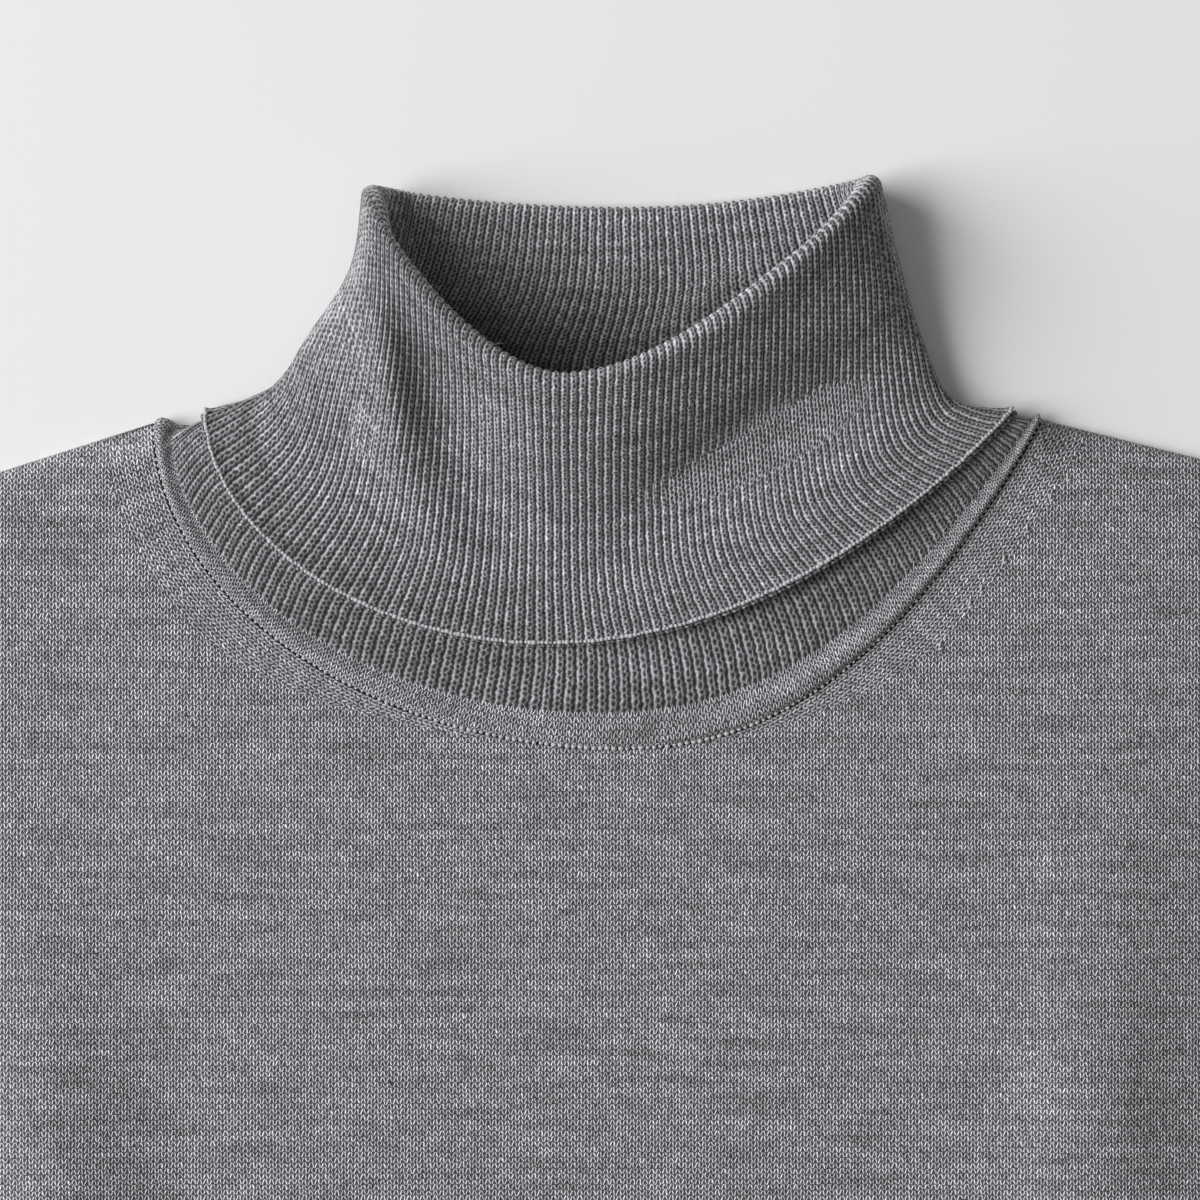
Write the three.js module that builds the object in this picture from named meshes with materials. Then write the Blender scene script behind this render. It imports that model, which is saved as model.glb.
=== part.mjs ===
// Turtleneck sweater, laid flat with its collar turned down once. Millimetres, +Z up.
// While it is drawn, x = 0 is the middle and y = 0 is the line through the two neck points,
// with the collar towards +Y. The whole garment is centred on the floor at the end.
import * as THREE from "three";

// Cloth
const CLOTH = 1.4; // wall of the body and sleeves
const COLLAR_CLOTH = 1.3; // wall of the collar in the grooves between its ribs
const SEAM_GAP = 0.3; // room between two pieces at a seam
const NECK_GAP = 0.6; // the same round the curved neckline
const RIB_RAISE = 0.55; // how far a rib stands proud of its grooves
const EDGE_Z = CLOTH + SEAM_GAP; // where the front's folded edges stand over the back

// Body
const UNDERARM = { x: 250, y: -235 };
const HEM_TOP = { x: 232, y: -595 }; // the corner where the side seam meets the hem rib
const HEM_RIB_DEPTH = 65;
const HEM_RIB_PITCH = 2.4;
const HEM_DRAW_IN = 8; // how much narrower the hem rib is at its free edge, each side
const SHOULDER_X = 218;
const SHOULDER_Y = { left: -36, right: -28 };
const FLAT_LOFT = 4.4; // height of the front's outer face where two layers lie together
const NECK_LOFT = 6.8; // the same at the front neckline, over the open neck
const NECK_REACH = 0.7; // how far out the neckline's rise fades, in neckline radii
const EDGE_ROUND = 11; // how far in a folded edge keeps rounding
const SIDE_REACH = 0.25; // share of the width over which a side edge bends the front's columns
const ARMHOLE_HOLLOW = { highX: 203, highY: -105, lowX: 204, lowY: -196 }; // curve controls

// Sleeves
const ARM_ANGLE = THREE.MathUtils.degToRad(40); // from straight down
const UNDERARM_TO_CUFF = 400;
const WRIST_WIDTH = 92;
const SLEEVE_TAPER = 38; // how far the underarm edge closes in on the way to the wrist
const SLEEVE_HEAD = 165; // pull of the shoulder line on the sleeve's upper edge
const SLEEVE_RUN = 340; // pull of the wrist on the sleeve's upper edge
const CUFF_DEPTH = 65;
const CUFF_RIBS = 40;
const CUFF_DRAW_IN = 3;
const UNDERSIDE_ROUND = 2.8; // how far in a tube's underside keeps rounding
const UNDERARM_PULL = 120; // pull of the underarm and of the wrist on the sleeve's lower edge
const WRIST_PULL = 150;

// Collar sections. The stand's seam ring lies at the neckline and the turned-down layer runs
// from its free edge to the fold. Each ring has a left and a right corner where it goes round
// the side and a lowest point in front. bow says how full a front quarter is beside the lowest
// point and drop how full it is beside its corner. Ribs: the rib number at the left corner,
// counted backwards, at the lowest point and at the right corner. run: how much of the front
// depth the side takes to rise.
const SEAM_RING = {
  leftX: -107.5, leftY: -0.8, rightX: 104.9, rightY: 0, lowX: 4, lowY: -78.7, backY: -38,
  leftBow: 1.95, leftDrop: 1.95, rightBow: 2.27, rightDrop: 1,
  cornerZ: 3.4, frontZ: NECK_LOFT, backZ: 0, run: 0.13,
  leftRibs: 48, lowRib: 4, rightRibs: 52,
};
const TURN_DOWN = [
  { at: 0, leftX: -95.5, leftY: 1.5, rightX: 98.5, rightY: 2, lowX: -15, lowY: -53.8, backY: -18,
    leftBow: 1.9, leftDrop: 1.9, rightBow: 2.1, rightDrop: 1,
    cornerZ: 5.6, frontZ: 10.5, backZ: 0, run: 0.22, leftRibs: 45, lowRib: -3.5, rightRibs: 52 },
  { at: 0.25, leftX: -79, leftY: 7.5, rightX: 83.5, rightY: 4.5, lowX: -14, lowY: -38.5, backY: -3,
    leftBow: 1.85, leftDrop: 1.7, rightBow: 2.05, rightDrop: 1,
    cornerZ: 6.6, frontZ: 12, backZ: 0, run: 0.32, leftRibs: 43, lowRib: -3, rightRibs: 50.5 },
  { at: 0.5, leftX: -70, leftY: 20, rightX: 76, rightY: 19, lowX: -12.5, lowY: -22, backY: 14,
    leftBow: 1.8, leftDrop: 1.5, rightBow: 1.95, rightDrop: 1,
    cornerZ: 8, frontZ: 17, backZ: 0, run: 0.42, leftRibs: 41, lowRib: -2.3, rightRibs: 49 },
  { at: 0.75, leftX: -59.8, leftY: 36, rightX: 70.5, rightY: 37, lowX: -11, lowY: -6, backY: 31,
    leftBow: 1.8, leftDrop: 1.35, rightBow: 1.85, rightDrop: 1,
    cornerZ: 9.6, frontZ: 26, backZ: 0, run: 0.55, leftRibs: 38.5, lowRib: -1.4, rightRibs: 47.5 },
  { at: 1, leftX: -57, leftY: 53.5, rightX: 66, rightY: 56, lowX: -9, lowY: 7, backY: 48.3,
    leftBow: 1.8, leftDrop: 1.2, rightBow: 1.75, rightDrop: 1,
    cornerZ: 11, frontZ: 32.5, backZ: 0, run: 0.7, leftRibs: 36, lowRib: -0.5, rightRibs: 46 },
];
const COLLAR_RIBS = 150;
const LAYER_GAP = 0.5; // between the turned-down layer and the stand
const FOLD_GAP = 2; // the same at the fold, where the cloth rolls over
const LIFT = 3.2; // how far the right front of the free edge stands off the stand
const BAND = 0.3; // share of the visible stand that is the plain band
const BASE_PULL = 0.34; // how far each end of the visible stand keeps its own direction

// Where the collar gets its rings: shares of the visible stand, levels up a layer from its
// free edge, and degrees round the fold
const RINGS = {
  band: [0, BAND],
  standRibs: [BAND + 0.08, 0.97],
  standUp: [0.3, 0.65, 0.9, 1],
  foldInside: 90,
  liningDown: [1, 0.75, 0.5, 0.25, 0],
  ribsUp: [0, 0.3, 0.6, 0.9],
  foldRibs: 35,
  foldTop: 95,
  foldPlain: 145,
  insideDown: [0.97, 0.75, 0.5, 0.25, 0],
  insideBase: [0.66, 0.33, 0],
};
const RIB_ROOM = 0.9; // share of the layers' gap that a rib of the stand may fill

// Soft folds in the lying cloth: middle, direction in degrees, half length, half width, height
const FOLDS = [
  { x: 122, y: -205, turn: 88, length: 105, width: 17, height: 1.9 },
  { x: -133, y: -215, turn: 95, length: 95, width: 16, height: 1.7 },
  { x: 40, y: -330, turn: 74, length: 150, width: 34, height: 0.9 },
  { x: -70, y: -450, turn: 100, length: 130, width: 30, height: 1.1 },
  { x: 150, y: -470, turn: 82, length: 110, width: 26, height: 1.2 },
  { x: -215, y: -190, turn: 128, length: 60, width: 11, height: 1.5 },
  { x: 222, y: -178, turn: 55, length: 66, width: 12, height: 1.6 },
  { x: 330, y: -190, turn: -42, length: 95, width: 20, height: 1.8 },
  { x: -345, y: -215, turn: 222, length: 105, width: 18, height: 1.6 },
  { x: 455, y: -360, turn: -60, length: 70, width: 16, height: 1.4 },
  { x: -470, y: -390, turn: 236, length: 85, width: 15, height: 1.3 },
];

// Distances from a folded edge where the sheets get a row or column of points
const NEAR_EDGE = [0, 1, 3.5, 8, 18, 42, 76];
const ARMHOLE_STEPS = [0, 1, 3.5, 8, 18, 36, 62, 92, 122, 150, 172, 188, 196, 199];
const BELOW_STEPS = [206, 222, 250, 290, 340, 400, 460, 515, 560];
const NECK_STEPS = 26;
const BACK_NECK_STEPS = 14;
const SLEEVE_ROWS = 11;

const GREY = {
  jersey: new THREE.Color(0x7e7d80),
  sleeve: new THREE.Color(0x7c7b7f),
  rib: new THREE.Color(0x706f73),
  collar: new THREE.Color(0x66656a),
};

const { lerp, clamp, degToRad } = THREE.MathUtils;
const mix = (a, b, t) => a.map((value, axis) => lerp(value, b[axis], t));
const add = (a, b, k = 1) => a.map((value, axis) => value + k * b[axis]);
const span = (a, b) => Math.hypot(...a.map((value, axis) => value - b[axis]));
const last = (list) => list[list.length - 1];

// The rise of a quarter circle: 0 at the edge, 1 from s = 1 on
function roundUp(s) {
  return s >= 1 ? 1 : Math.sqrt(1 - (1 - Math.max(s, 0)) ** 2);
}

function bezier([a, b, c, d], t) {
  const k = 1 - t;
  const weights = [k * k * k, 3 * k * k * t, 3 * k * t * t, t * t * t];
  return a.map((_, axis) =>
    weights[0] * a[axis] + weights[1] * b[axis] + weights[2] * c[axis] + weights[3] * d[axis]);
}

// A smooth value through evenly spaced rows, for each of a row's columns
function sectionAt(rows, at) {
  const place = clamp(at, 0, 1) * (rows.length - 1);
  const first = Math.min(Math.floor(place), rows.length - 2);
  const t = place - first;
  const near = [-1, 0, 1, 2].map((step) => rows[clamp(first + step, 0, rows.length - 1)]);
  const section = {};
  for (const name of Object.keys(rows[0])) {
    const [p, a, b, n] = near.map((row) => row[name]);
    section[name] = 0.5 * (2 * a + (b - p) * t + (2 * p - 5 * a + 4 * b - n) * t * t
      + (3 * a - p - 3 * b + n) * t * t * t);
  }
  return section;
}

// A closed body collected as points and triangles
class Body {
  constructor() {
    this.points = [];
    this.faces = [];
  }

  addRow(points) {
    const start = this.points.length;
    this.points.push(...points);
    return points.map((_, index) => start + index);
  }

  quad(a, b, c, d) {
    this.faces.push([a, b, c], [a, c, d]);
  }

  // Joins a grid of rows, seen with the rows going up and the columns to the right
  skin(rows, flip = false) {
    for (let r = 0; r + 1 < rows.length; r += 1) {
      for (let c = 0; c + 1 < rows[r].length; c += 1) {
        const corners = [rows[r][c], rows[r][c + 1], rows[r + 1][c + 1], rows[r + 1][c]];
        this.quad(...(flip ? corners.reverse() : corners));
      }
    }
  }

  // Joins two closed rings that may hold different numbers of points, by where each lies
  zip(ringA, ringB) {
    const size = { a: ringA.at.length, b: ringB.at.length };
    const place = (ring, index, count) => ring.at[index % count] + Math.floor(index / count);
    let a = 0;
    let b = 0;
    while (a < size.a || b < size.b) {
      const nextA = a < size.a ? place(ringA, a + 1, size.a) : Infinity;
      const nextB = b < size.b ? place(ringB, b + 1, size.b) : Infinity;
      const here = [ringA.ids[a % size.a], ringB.ids[b % size.b]];
      if (nextA <= nextB) {
        a += 1;
        this.faces.push([here[0], ringA.ids[a % size.a], here[1]]);
      } else {
        b += 1;
        this.faces.push([here[0], ringB.ids[b % size.b], here[1]]);
      }
    }
  }

  // Six times the volume, to tell whether the faces point out
  signedVolume() {
    let sum = 0;
    for (const [a, b, c] of this.faces) {
      const [p, q, r] = [a, b, c].map((index) => this.points[index]);
      sum += p[0] * (q[1] * r[2] - q[2] * r[1]) + p[1] * (q[2] * r[0] - q[0] * r[2])
        + p[2] * (q[0] * r[1] - q[1] * r[0]);
    }
    return sum;
  }

  geometry() {
    const outward = this.signedVolume() > 0;
    const geometry = new THREE.BufferGeometry();
    geometry.setAttribute("position", new THREE.Float32BufferAttribute(this.points.flat(), 3));
    geometry.setIndex(this.faces.flatMap((face) => (outward ? face : [...face].reverse())));
    geometry.computeVertexNormals();
    return geometry;
  }
}

// Height of the lying cloth's outer face at a place on the floor plan
function loft(x, y) {
  const neckX = x / SEAM_RING.rightX;
  const neckY = y / SEAM_RING.lowY;
  const outside = Math.max(0, Math.hypot(neckX, neckY) - 1);
  let height = FLAT_LOFT + (NECK_LOFT - FLAT_LOFT) * Math.exp(-((outside / NECK_REACH) ** 2));
  for (const fold of FOLDS) {
    const turn = degToRad(fold.turn);
    const along = (x - fold.x) * Math.cos(turn) + (y - fold.y) * Math.sin(turn);
    const across = -(x - fold.x) * Math.sin(turn) + (y - fold.y) * Math.cos(turn);
    const reach = clamp(Math.abs(along) / fold.length, 0, 1);
    const fade = Math.cos((reach * Math.PI) / 2) ** 2;
    height += fold.height * fade * Math.exp(-((across / fold.width) ** 2));
  }
  return height;
}

// A point of a collar ring. angle: 0 at the front point, a quarter turn at each corner and a
// half turn behind, positive to the right
function ringAngle(section, angle) {
  const right = angle >= 0;
  const cornerX = right ? section.rightX : section.leftX;
  const cornerY = right ? section.rightY : section.leftY;
  const turn = Math.abs(angle);
  if (turn <= Math.PI / 2) {
    const bow = right ? section.rightBow : section.leftBow;
    const drop = right ? section.rightDrop : section.leftDrop;
    const across = Math.sin(turn) ** (2 / bow);
    const depth = Math.max(Math.cos(turn), 0) ** (2 / drop);
    return [
      lerp(section.lowX, cornerX, across),
      lerp(cornerY, section.lowY, depth),
      lerp(section.cornerZ, section.frontZ, roundUp(depth / section.run)),
    ];
  }
  const middleX = (section.leftX + section.rightX) / 2;
  const inward = 1 - Math.cos(turn - Math.PI / 2);
  const round = section.cornerZ - section.backZ;
  const reach = Math.abs(cornerX - middleX) * inward;
  return [
    lerp(cornerX, middleX, inward),
    lerp(cornerY, section.backY, 1 - (1 - inward) ** 2),
    section.cornerZ - round * roundUp(reach / round),
  ];
}

// Turns a rib number into an angle round the ring, with the ribs evenly spaced along it
const RING_SAMPLES = 120;
const ringTables = new Map();
function ringTable(section, key) {
  if (ringTables.has(key)) return ringTables.get(key);
  const table = [];
  for (const [from, to] of [[-2, -1], [-1, 0], [0, 1], [1, 2]]) {
    const stretch = { angles: [], lengths: [] };
    let travelled = 0;
    let before = null;
    for (let i = 0; i <= RING_SAMPLES; i += 1) {
      const angle = (lerp(from, to, i / RING_SAMPLES) * Math.PI) / 2;
      const point = ringAngle(section, angle);
      if (before) travelled += span(point, before);
      stretch.angles.push(angle);
      stretch.lengths.push(travelled);
      before = point;
    }
    table.push(stretch);
  }
  ringTables.set(key, table);
  return table;
}

function angleAlong(stretch, share) {
  const target = share * last(stretch.lengths);
  let index = 1;
  while (index < RING_SAMPLES && stretch.lengths[index] < target) index += 1;
  const before = stretch.lengths[index - 1];
  const step = stretch.lengths[index] - before;
  return lerp(stretch.angles[index - 1], stretch.angles[index], (target - before) / step);
}

function ribAngle(section, key, rib) {
  const half = COLLAR_RIBS / 2;
  const wrapped = ((((rib + half) % COLLAR_RIBS) + COLLAR_RIBS) % COLLAR_RIBS) - half;
  const [leftBack, leftFront, rightFront, rightBack] = ringTable(section, key);
  const { leftRibs, lowRib, rightRibs } = section;
  const backMiddle = (COLLAR_RIBS + rightRibs - leftRibs) / 2; // rib number behind
  let number = wrapped;
  if (number > backMiddle) number -= COLLAR_RIBS;
  if (number < backMiddle - COLLAR_RIBS) number += COLLAR_RIBS;
  if (number > rightRibs) {
    return angleAlong(rightBack, (number - rightRibs) / (backMiddle - rightRibs));
  }
  if (number >= lowRib) {
    return angleAlong(rightFront, (number - lowRib) / (rightRibs - lowRib));
  }
  if (number >= -leftRibs) {
    return angleAlong(leftFront, (number + leftRibs) / (lowRib + leftRibs));
  }
  const backRibs = COLLAR_RIBS - backMiddle - leftRibs;
  return angleAlong(leftBack, 1 - (-number - leftRibs) / backRibs);
}

function ringPoint(section, key, rib) {
  return ringAngle(section, ribAngle(section, key, rib));
}

// How far the right front of the turned-down layer stands off, at a level up it
function standOff(level, rib) {
  const across = clamp(rib / TURN_DOWN[0].rightRibs, 0, 1);
  return LIFT * (1 - level) ** 2 * Math.sin(Math.PI * across) ** 2;
}

// The turned-down layer's outer face. level: 0 at the free edge, 1 where the fold starts
function turnDown(level, rib) {
  const section = sectionAt(TURN_DOWN, level);
  const point = ringPoint(section, level.toFixed(4), rib);
  point[2] += standOff(level, rib);
  return point;
}

function cross(a, b) {
  return [a[1] * b[2] - a[2] * b[1], a[2] * b[0] - a[0] * b[2], a[0] * b[1] - a[1] * b[0]];
}

function unit(vector) {
  const length = Math.hypot(...vector);
  return vector.map((value) => value / length);
}

// The outward normal and the uphill direction of a surface of level and rib number
function facing(surface, level, rib) {
  const low = Math.max(level - 0.02, 0);
  const high = Math.min(level + 0.02, 1);
  const uphill = unit(add(surface(high, rib), surface(low, rib), -1));
  const around = unit(add(surface(level, rib + 0.5), surface(level, rib - 0.5), -1));
  return { normal: unit(cross(around, uphill)), uphill };
}

function layerGap(level, rib) {
  return LAYER_GAP + (FOLD_GAP - LAYER_GAP) * clamp(level, 0, 1) ** 4 + standOff(level, rib);
}

// A point under the turned-down layer's outer face
function under(level, rib, depth) {
  return add(turnDown(level, rib), facing(turnDown, level, rib).normal, -depth);
}

// The half turn of the fold. turn: 0 at the turned-down layer, 180 at the stand
function fold(rib, radius, turn) {
  const { normal, uphill } = facing(turnDown, 1, rib);
  const centre = add(turnDown(1, rib), normal, -(COLLAR_CLOTH + layerGap(1, rib) / 2));
  const angle = degToRad(turn);
  return add(add(centre, normal, radius * Math.cos(angle)), uphill, radius * Math.sin(angle));
}

// The visible part of the stand, from the neckline up to the turned-down layer's free edge
function standBase(share, rib) {
  const seam = ringPoint(SEAM_RING, "seam", rib);
  const depth = (level) => COLLAR_CLOTH + layerGap(level, rib);
  const top = under(0, rib, depth(0));
  const reach = span(seam, top);
  const onward = unit(add(under(0.04, rib, depth(0.04)), top, -1));
  const controls = [seam, mix(seam, top, BASE_PULL), add(top, onward, -BASE_PULL * reach), top];
  return bezier(controls, share);
}

function collarRing(body, numbers, pointAt) {
  const share = (number) => (((number / COLLAR_RIBS) % 1) + 1) % 1;
  const sorted = [...numbers].sort((a, b) => share(a) - share(b));
  const points = sorted.map(pointAt).map(([x, y, z]) => [x, y, Math.max(z, 0)]);
  return { ids: body.addRow(points), at: sorted.map(share) };
}

// Rib numbers at even steps over the front, from corner to corner, and over the back
function ringNumbers({ leftRibs, rightRibs }, frontSteps, backSteps) {
  const backRibs = COLLAR_RIBS - leftRibs - rightRibs;
  const front = [];
  const back = [];
  for (let i = 0; i <= frontSteps; i += 1) front.push(lerp(-leftRibs, rightRibs, i / frontSteps));
  for (let i = 1; i < backSteps; i += 1) back.push(rightRibs + (backRibs * i) / backSteps);
  return { front, back, all: [...front, ...back] };
}

function ribRaise(number) {
  const { leftRibs, rightRibs } = TURN_DOWN[0];
  const inFront = number > -leftRibs && number < rightRibs;
  const crest = Math.round(2 * number) % 2 !== 0;
  return inFront && crest ? RIB_RAISE : 0;
}

function buildCollar() {
  const body = new Body();
  const { leftRibs, rightRibs } = TURN_DOWN[0];
  const plain = ringNumbers(SEAM_RING, NECK_STEPS, BACK_NECK_STEPS).all;
  const ribbed = ringNumbers(TURN_DOWN[0], 2 * (leftRibs + rightRibs), BACK_NECK_STEPS).all;
  const rings = [];
  const plainRing = (pointAt) => rings.push(collarRing(body, plain, pointAt));
  const ribbedRing = (pointAt) => rings.push(collarRing(body, ribbed, pointAt));
  const standDepth = (level, rib) => COLLAR_CLOTH + layerGap(level, rib);
  const baseOut = (share, rib, raise) =>
    add(standBase(share, rib), facing(standBase, share, rib).normal, raise);

  for (const share of RINGS.band) {
    plainRing((rib) => standBase(share, rib));
  }
  for (const share of RINGS.standRibs) {
    ribbedRing((rib) => baseOut(share, rib, Math.min(ribRaise(rib), LAYER_GAP * RIB_ROOM)));
  }
  for (const level of RINGS.standUp) {
    plainRing((rib) => under(level, rib, standDepth(level, rib)));
  }
  plainRing((rib) => fold(rib, layerGap(1, rib) / 2, RINGS.foldInside));
  for (const level of RINGS.liningDown) {
    plainRing((rib) => under(level, rib, COLLAR_CLOTH));
  }
  for (const level of RINGS.ribsUp) {
    ribbedRing((rib) => under(level, rib, -ribRaise(rib)));
  }
  const foldRadius = (rib) => COLLAR_CLOTH + layerGap(1, rib) / 2;
  ribbedRing((rib) => fold(rib, foldRadius(rib) + ribRaise(rib), RINGS.foldRibs));
  ribbedRing((rib) => fold(rib, foldRadius(rib) + ribRaise(rib) / 2, RINGS.foldTop));
  plainRing((rib) => fold(rib, foldRadius(rib), RINGS.foldPlain));
  for (const level of RINGS.insideDown) {
    plainRing((rib) => under(level, rib, standDepth(level, rib) + COLLAR_CLOTH));
  }
  for (const share of RINGS.insideBase) {
    plainRing((rib) => baseOut(share, rib, -COLLAR_CLOTH));
  }

  rings.forEach((ring, index) => body.zip(ring, rings[(index + 1) % rings.length]));
  return body.geometry();
}

// Outlines of the body, for the left (-1) or right (+1) side
function shoulderPoint(side) {
  return [side * SHOULDER_X, side < 0 ? SHOULDER_Y.left : SHOULDER_Y.right];
}

function neckPoint(side) {
  const x = side < 0 ? SEAM_RING.leftX : SEAM_RING.rightX;
  return [x + side * NECK_GAP, side < 0 ? SEAM_RING.leftY : SEAM_RING.rightY];
}

function armholePoint(side, down) {
  const hollow = ARMHOLE_HOLLOW;
  const curve = [shoulderPoint(side), [side * hollow.highX, hollow.highY],
    [side * hollow.lowX, hollow.lowY], [side * UNDERARM.x, UNDERARM.y]];
  return bezier(curve, clamp(down, 0, 1));
}

// The body's edge at a distance down from the shoulder
function sideEdge(side, down) {
  const armhole = last(ARMHOLE_STEPS);
  if (down <= armhole) return armholePoint(side, down / armhole);
  const share = (down - armhole) / (last(BELOW_STEPS) - armhole);
  return mix([side * UNDERARM.x, UNDERARM.y], [side * HEM_TOP.x, HEM_TOP.y], share);
}

// The neckline of a panel, a seam's gap outside the collar. angle is the collar ring's own
function necklinePoint(angle) {
  const step = 0.01;
  const [x, y] = ringAngle(SEAM_RING, angle);
  const before = ringAngle(SEAM_RING, angle - step);
  const after = ringAngle(SEAM_RING, angle + step);
  const along = unit([after[0] - before[0], after[1] - before[1]]);
  const away = Math.abs(angle) > Math.PI / 2 ? -NECK_GAP : NECK_GAP;
  return [x + along[1] * away, y - along[0] * away];
}

// Points of the front's upper edge from the left shoulder to the right, with each one's
// distance from the folded edge and its height share there
function frontTop() {
  const stations = [];
  const shoulder = (side, distance) => {
    const from = shoulderPoint(side);
    const to = neckPoint(side);
    const point = mix(from, to, distance / span(from, to));
    return { point, fromSide: distance, open: 0 };
  };
  for (const distance of NEAR_EDGE) stations.push(shoulder(-1, distance));
  const inland = SHOULDER_X / 2; // far enough in to be clear of the side's rounding
  stations.push({ point: neckPoint(-1), fromSide: inland, open: 0 });
  for (const rib of ringNumbers(SEAM_RING, NECK_STEPS, BACK_NECK_STEPS).front.slice(1, -1)) {
    const angle = ribAngle(SEAM_RING, "seam", rib);
    const point = necklinePoint(angle);
    const corner = angle < 0 ? SEAM_RING.leftY : SEAM_RING.rightY;
    stations.push({ point, fromSide: inland, open: roundUp((corner - point[1]) / EDGE_ROUND) });
  }
  stations.push({ point: neckPoint(1), fromSide: inland, open: 0 });
  for (const distance of [...NEAR_EDGE].reverse()) stations.push(shoulder(1, distance));
  return stations;
}

// The front: a wall arched over the back, folded down at its sides and shoulders
function buildFront() {
  const top = frontTop();
  const downs = [...ARMHOLE_STEPS, ...BELOW_STEPS];
  const armhole = last(ARMHOLE_STEPS);
  const length = last(downs);
  const corners = { bottom: [-1, 1].map((side) => sideEdge(side, length)) };
  corners.top = [-1, 1].map((side) => sideEdge(side, 0));
  const left = top[0].point[0];
  const width = last(top).point[0] - left;

  // Straight columns, drawn over to the side edges where those curve
  const place = (station, down) => {
    const across = (station.point[0] - left) / width;
    const up = 1 - down / length;
    const bottom = mix(corners.bottom[0], corners.bottom[1], across);
    let plan = mix(bottom, station.point, up);
    [-1, 1].forEach((side, index) => {
      const straight = mix(corners.bottom[index], corners.top[index], up);
      const bend = add(sideEdge(side, down), straight, -1);
      const near = Math.max(0, 1 - Math.abs(across - index) / SIDE_REACH) ** 2;
      plan = add(plan, bend, near);
    });
    return plan;
  };
  const shares = (station, down) => {
    const fromEnds = Math.min(down, armhole - down) / EDGE_ROUND;
    const sideOpen = down < armhole ? roundUp(fromEnds) : 0;
    const sideShare = lerp(roundUp(station.fromSide / EDGE_ROUND), 1, sideOpen);
    const topShare = lerp(roundUp(down / EDGE_ROUND), 1, station.open);
    return { sideOpen, share: sideShare * topShare };
  };
  const point = (station, down, depth) => {
    const { sideOpen, share } = shares(station, down);
    const plan = place(station, down);
    const middle = place(top[Math.floor(top.length / 2)], down);
    const inX = depth * (1 - sideOpen) * (1 - clamp(station.fromSide / EDGE_ROUND, 0, 1));
    const inY = depth * (1 - station.open) * (1 - clamp(down / EDGE_ROUND, 0, 1));
    const x = plan[0] - Math.sign(plan[0] - middle[0]) * inX;
    const rise = loft(plan[0], plan[1]) - depth - EDGE_Z;
    return [x, plan[1] - inY, EDGE_Z + rise * share];
  };
  return sheetWall(downs.map((down) => top.map((station) => ({
    outer: point(station, down, 0),
    inner: point(station, down, CLOTH),
  }))));
}

// A closed wall from a grid of outer and inner points
function sheetWall(grid) {
  const body = new Body();
  const outer = grid.map((row) => body.addRow(row.map((cell) => cell.outer)));
  const inner = grid.map((row) => body.addRow(row.map((cell) => cell.inner)));
  body.skin(outer);
  body.skin(inner, true);
  const loop = (rows) => [
    ...rows[0], ...rows.slice(1).map((row) => last(row)),
    ...last(rows).slice(0, -1).reverse(), ...rows.slice(1, -1).map((row) => row[0]).reverse(),
  ];
  const [rim, lining] = [loop(outer), loop(inner)];
  rim.forEach((_, index) => {
    const next = (index + 1) % rim.length;
    body.quad(rim[index], lining[index], lining[next], rim[next]);
  });
  return body.geometry();
}

// A flat panel lying on the floor
function flatPanel(outline) {
  const shape = new THREE.Shape(outline.map(([x, y]) => new THREE.Vector2(x, y)));
  return new THREE.ExtrudeGeometry(shape, { depth: CLOTH, bevelEnabled: false });
}

function buildBack() {
  const outline = [];
  const downs = [...ARMHOLE_STEPS, ...BELOW_STEPS];
  for (const down of downs) outline.push(sideEdge(-1, down));
  for (const down of [...downs].reverse()) outline.push(sideEdge(1, down));
  outline.push(neckPoint(1));
  for (const rib of ringNumbers(SEAM_RING, NECK_STEPS, BACK_NECK_STEPS).back) {
    outline.push(necklinePoint(ribAngle(SEAM_RING, "seam", rib)));
  }
  outline.push(neckPoint(-1));
  return flatPanel(outline);
}

// Draws a rib piece in towards its free edge. along: 0 at its seam, 1 at the free edge
function drawIn(geometry, depth, ratio) {
  const position = geometry.getAttribute("position");
  for (let i = 0; i < position.count; i += 1) {
    position.setX(i, position.getX(i) * (1 - (ratio * position.getZ(i)) / depth));
  }
  return geometry;
}

// The upper line of a lying rib: a groove and a crest for each rib, rounded at both ends
function ribLine(halfWidth, ribs, edgeZ, height) {
  const line = [];
  for (let i = 0; i <= 2 * ribs; i += 1) {
    const x = lerp(-halfWidth, halfWidth, i / (2 * ribs));
    const share = roundUp((halfWidth - Math.abs(x)) / EDGE_ROUND);
    const raise = i % 2 ? RIB_RAISE * share : 0;
    line.push(new THREE.Vector2(x, edgeZ + (height - edgeZ) * share + raise));
  }
  return line;
}

// The rounded line under a lying wall, from right to left
function plainLine(halfWidth, edgeZ, height) {
  const distances = [...NEAR_EDGE.slice(0, 5), halfWidth];
  const right = distances.map((distance) => new THREE.Vector2(
    halfWidth - distance, edgeZ + (height - edgeZ) * roundUp(distance / EDGE_ROUND)));
  const left = right.slice(0, -1).reverse().map(({ x, y }) => new THREE.Vector2(-x, y));
  return [...right, ...left];
}

function buildFrontHemRib() {
  const ribs = Math.round((2 * HEM_TOP.x) / HEM_RIB_PITCH);
  const upper = ribLine(HEM_TOP.x, ribs, EDGE_Z, FLAT_LOFT);
  const lower = plainLine(HEM_TOP.x - CLOTH, EDGE_Z, FLAT_LOFT - CLOTH);
  const shape = new THREE.Shape([...upper, ...lower]);
  const depth = HEM_RIB_DEPTH - SEAM_GAP;
  const geometry = new THREE.ExtrudeGeometry(shape, { depth, bevelEnabled: false });
  drawIn(geometry, depth, HEM_DRAW_IN / HEM_TOP.x);
  geometry.rotateX(Math.PI / 2);
  return geometry.translate(0, HEM_TOP.y - SEAM_GAP, 0);
}

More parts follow.
